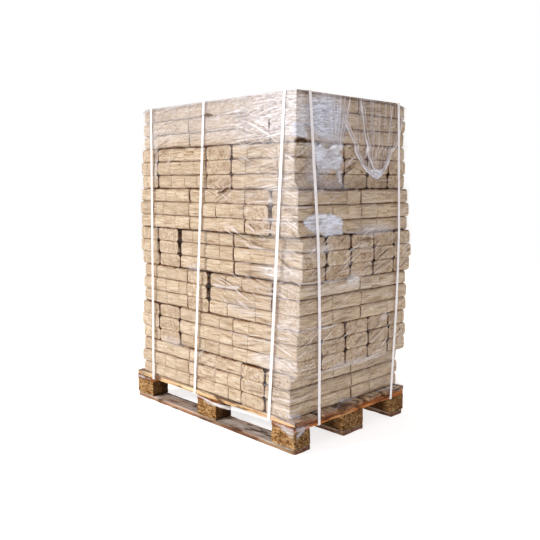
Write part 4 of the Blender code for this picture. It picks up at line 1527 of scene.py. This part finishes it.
def film_lines(n, flow, name, scale, turn, shift):
    """Pulled lines in one direction: where they are light (painted highlights), where they are dark (painted
    shade), and their height.
    """
    turned = n.scaled(flow, (1, 1, 1), turn=turn, shift=(shift, shift, 0))
    bend = n.noise(turned, (2.6, 4.5, 1), detail=1.0)
    along, across, _ = n.node("SeparateXYZ", {"Vector": turned}).outputs
    bent = n.math("MULTIPLY_ADD", bend, FILM_BEND, across)
    pulled = n.node("CombineXYZ", {0: n.times(along, scale[0]),
                                   1: n.times(bent, scale[1])}).outputs[0]
    streak = n.noise(pulled, detail=1.2, roughness=0.6)
    broken = n.spread(n.noise(turned, (5, 16, 1), shift=(3, 1, 0), detail=2.0), 0.36, 0.58)
    strength = n.times(n.attribute(name), broken)
    light = n.times(n.spread(streak, 0.53, 0.68), strength)
    dark = n.times(n.spread(streak, 0.32, 0.46, 1.0, 0.0), strength)
    return light, dark, n.times(streak, strength)


def film_material():
    """Clear stretch film: pulled into light and dark lines that are painted highlights and painted shade,
    glossy, milky in places, and tinted cool as painted sky reflection.
    """
    n = new_material("stretch_film")
    flow = n.attribute("flow", "Vector")
    haze = n.attribute("haze")
    light, dark, height = film_lines(n, flow, "level", (5, 98), -4, 0)
    for name, scale, turn, shift in (("rising", (6, 104), -27, 3), ("falling", (5, 92), 22, 8),
                                     ("upright", (4, 110), 90, 5)):
        more_light, more_dark, more_height = film_lines(n, flow, name, scale, turn, shift)
        light = n.math("MAXIMUM", light, more_light)
        dark = n.math("MAXIMUM", dark, more_dark)
        height = n.math("ADD", height, more_height)
    normal = n.bump(height, 0.0012, 0.9)
    fresnel = n.node("Fresnel", {"IOR": 1.45, "Normal": normal}).outputs[0]
    shine = n.math("MINIMUM", n.times(fresnel, 0.30), 0.020)
    # Painted shade: the dark lines and dark marks darken what shows through the film
    darker = n.math("MAXIMUM", n.times(dark, 0.72), n.attribute("dark"))
    through = n.blend(darker, (1.0, 0.995, 0.99), (0.22, 0.13, 0.08))
    clear = n.node("BsdfTransparent", {"Color": through}).outputs[0]
    gloss = n.node("BsdfGlossy", {"Color": (1.0, 0.82, 0.68), "Roughness": 0.15, "Normal": normal}).outputs[0]
    # Painted sky reflection: the film's white turns cool where its tint attribute is high
    white = n.blend(n.attribute("cool"), (0.96, 0.905, 0.90), (0.78, 0.84, 1.0))
    milky = n.node("BsdfPrincipled", {"Base Color": white, "Roughness": 0.35, "Normal": normal}).outputs[0]
    glazed = n.node("MixShader", {0: shine, 1: clear, 2: gloss}).outputs[0]
    cloudy = n.noise(flow, (30, 130, 1), turn=-3, shift=(2, 7, 0), detail=3.0, roughness=0.65)
    cloud = n.times(haze, n.spread(cloudy, 0.30, 0.70, 0.45, 1.35))
    # The light lines add milky white as painted highlights
    milk = n.math("MULTIPLY_ADD", light, 0.58, cloud, clamp=True)
    return n.finish(n.node("MixShader", {0: milk, 1: glazed, 2: milky}).outputs[0])


def pack_film_material():
    """The packs' thinner film: clear and glossy."""
    n = new_material("pack_film")
    flow = n.attribute("flow", "Vector")
    creases = n.noise(flow, (40, 40, 90), detail=3.0, roughness=0.6, distortion=0.6)
    normal = n.bump(creases, 0.003, 0.7)
    fresnel = n.node("Fresnel", {"IOR": 1.45, "Normal": normal}).outputs[0]
    shine = n.math("MINIMUM", n.times(fresnel, 0.45), 0.035)
    shine = n.times(shine, n.attribute("facing_out"))
    clear = n.node("BsdfTransparent", {"Color": WHITE}).outputs[0]
    gloss = n.node("BsdfGlossy", {"Color": (1.0, 0.78, 0.60), "Roughness": 0.2, "Normal": normal}).outputs[0]
    return n.finish(n.node("MixShader", {0: shine, 1: clear, 2: gloss}).outputs[0])


# The view and the light

def add_camera():
    """The camera at the photograph's angle."""
    azimuth = math.radians(CAMERA_AZIMUTH)
    place = (math.sin(azimuth) * CAMERA_DISTANCE, -math.cos(azimuth) * CAMERA_DISTANCE, CAMERA_HEIGHT)
    data = bpy.data.cameras.new("camera")
    data.lens = CAMERA_LENS
    data.sensor_width = SENSOR_WIDTH
    data.clip_end = CAMERA_SEES
    camera = bpy.data.objects.new("camera", data)
    camera.location = place
    camera.rotation_euler = (math.radians(90 - CAMERA_TILT), 0.0, azimuth + math.radians(CAMERA_TURN))
    bpy.context.scene.collection.objects.link(camera)
    bpy.context.scene.camera = camera


def add_sun():
    """A broad sun on the long side."""
    data = bpy.data.lights.new("sun", "SUN")
    data.energy = SUN_STRENGTH
    data.angle = math.radians(SUN_SPREAD)
    data.color = SUN_COLOUR
    sun = bpy.data.objects.new("sun", data)
    sun.visible_glossy = False
    sun.rotation_euler = Vector(SUN_FROM).to_track_quat("Z", "Y").to_euler()
    bpy.context.scene.collection.objects.link(sun)


def add_world():
    """Soft light from all round: a pale horizon, a sky and some broad lamps. The camera sees plain white."""
    world = bpy.data.worlds.new("studio")
    world.use_nodes = True
    n = Nodes(world, "OutputWorld")
    direction = n.node("TexCoord").outputs["Generated"]
    light = HORIZON
    for toward, edge, full, colour in LAMPS:
        unit = tuple(part / math.hypot(*toward) for part in toward)
        facing = n.node("VectorMath", {0: direction, 1: unit}, operation="DOT_PRODUCT").outputs["Value"]
        light = n.blend(n.spread(facing, edge, full), light, colour, "ADD")
    shown = n.blend(n.node("LightPath").outputs["Is Camera Ray"], light, WHITE)
    n.finish(n.node("Background", {"Color": shown}).outputs[0])
    bpy.context.scene.world = world


def add_floor():
    """A plain pale floor."""
    half = FLOOR_SIZE / 2
    mesh = bpy.data.meshes.new("floor")
    mesh.from_pydata([(-half, -half, 0), (half, -half, 0), (half, half, 0), (-half, half, 0)], [],
                     [(0, 1, 2, 3)])
    mesh.materials.append(new_material("floor").finish_solid({
        "Base Color": FLOOR_COLOUR, "Roughness": 0.9, "Specular IOR Level": 0.1,
        "Emission Color": WHITE, "Emission Strength": FLOOR_GLOW}))
    floor = bpy.data.objects.new("floor", mesh)
    bpy.context.scene.collection.objects.link(floor)


scene = bpy.context.scene
scene.view_settings.view_transform = "Standard"
scene.cycles.transparent_max_bounces = FILMS_SEEN_THROUGH
add_camera()
add_sun()
add_world()
add_floor()
build_pallet(wood_material(), block_material())
build_nails(nail_material())
finish_straps(strap_material())
build_load(briquette_material())
build_pack_film(pack_film_material())
stretch = film_material()
build_wrap(stretch)
build_loose_film(stretch)
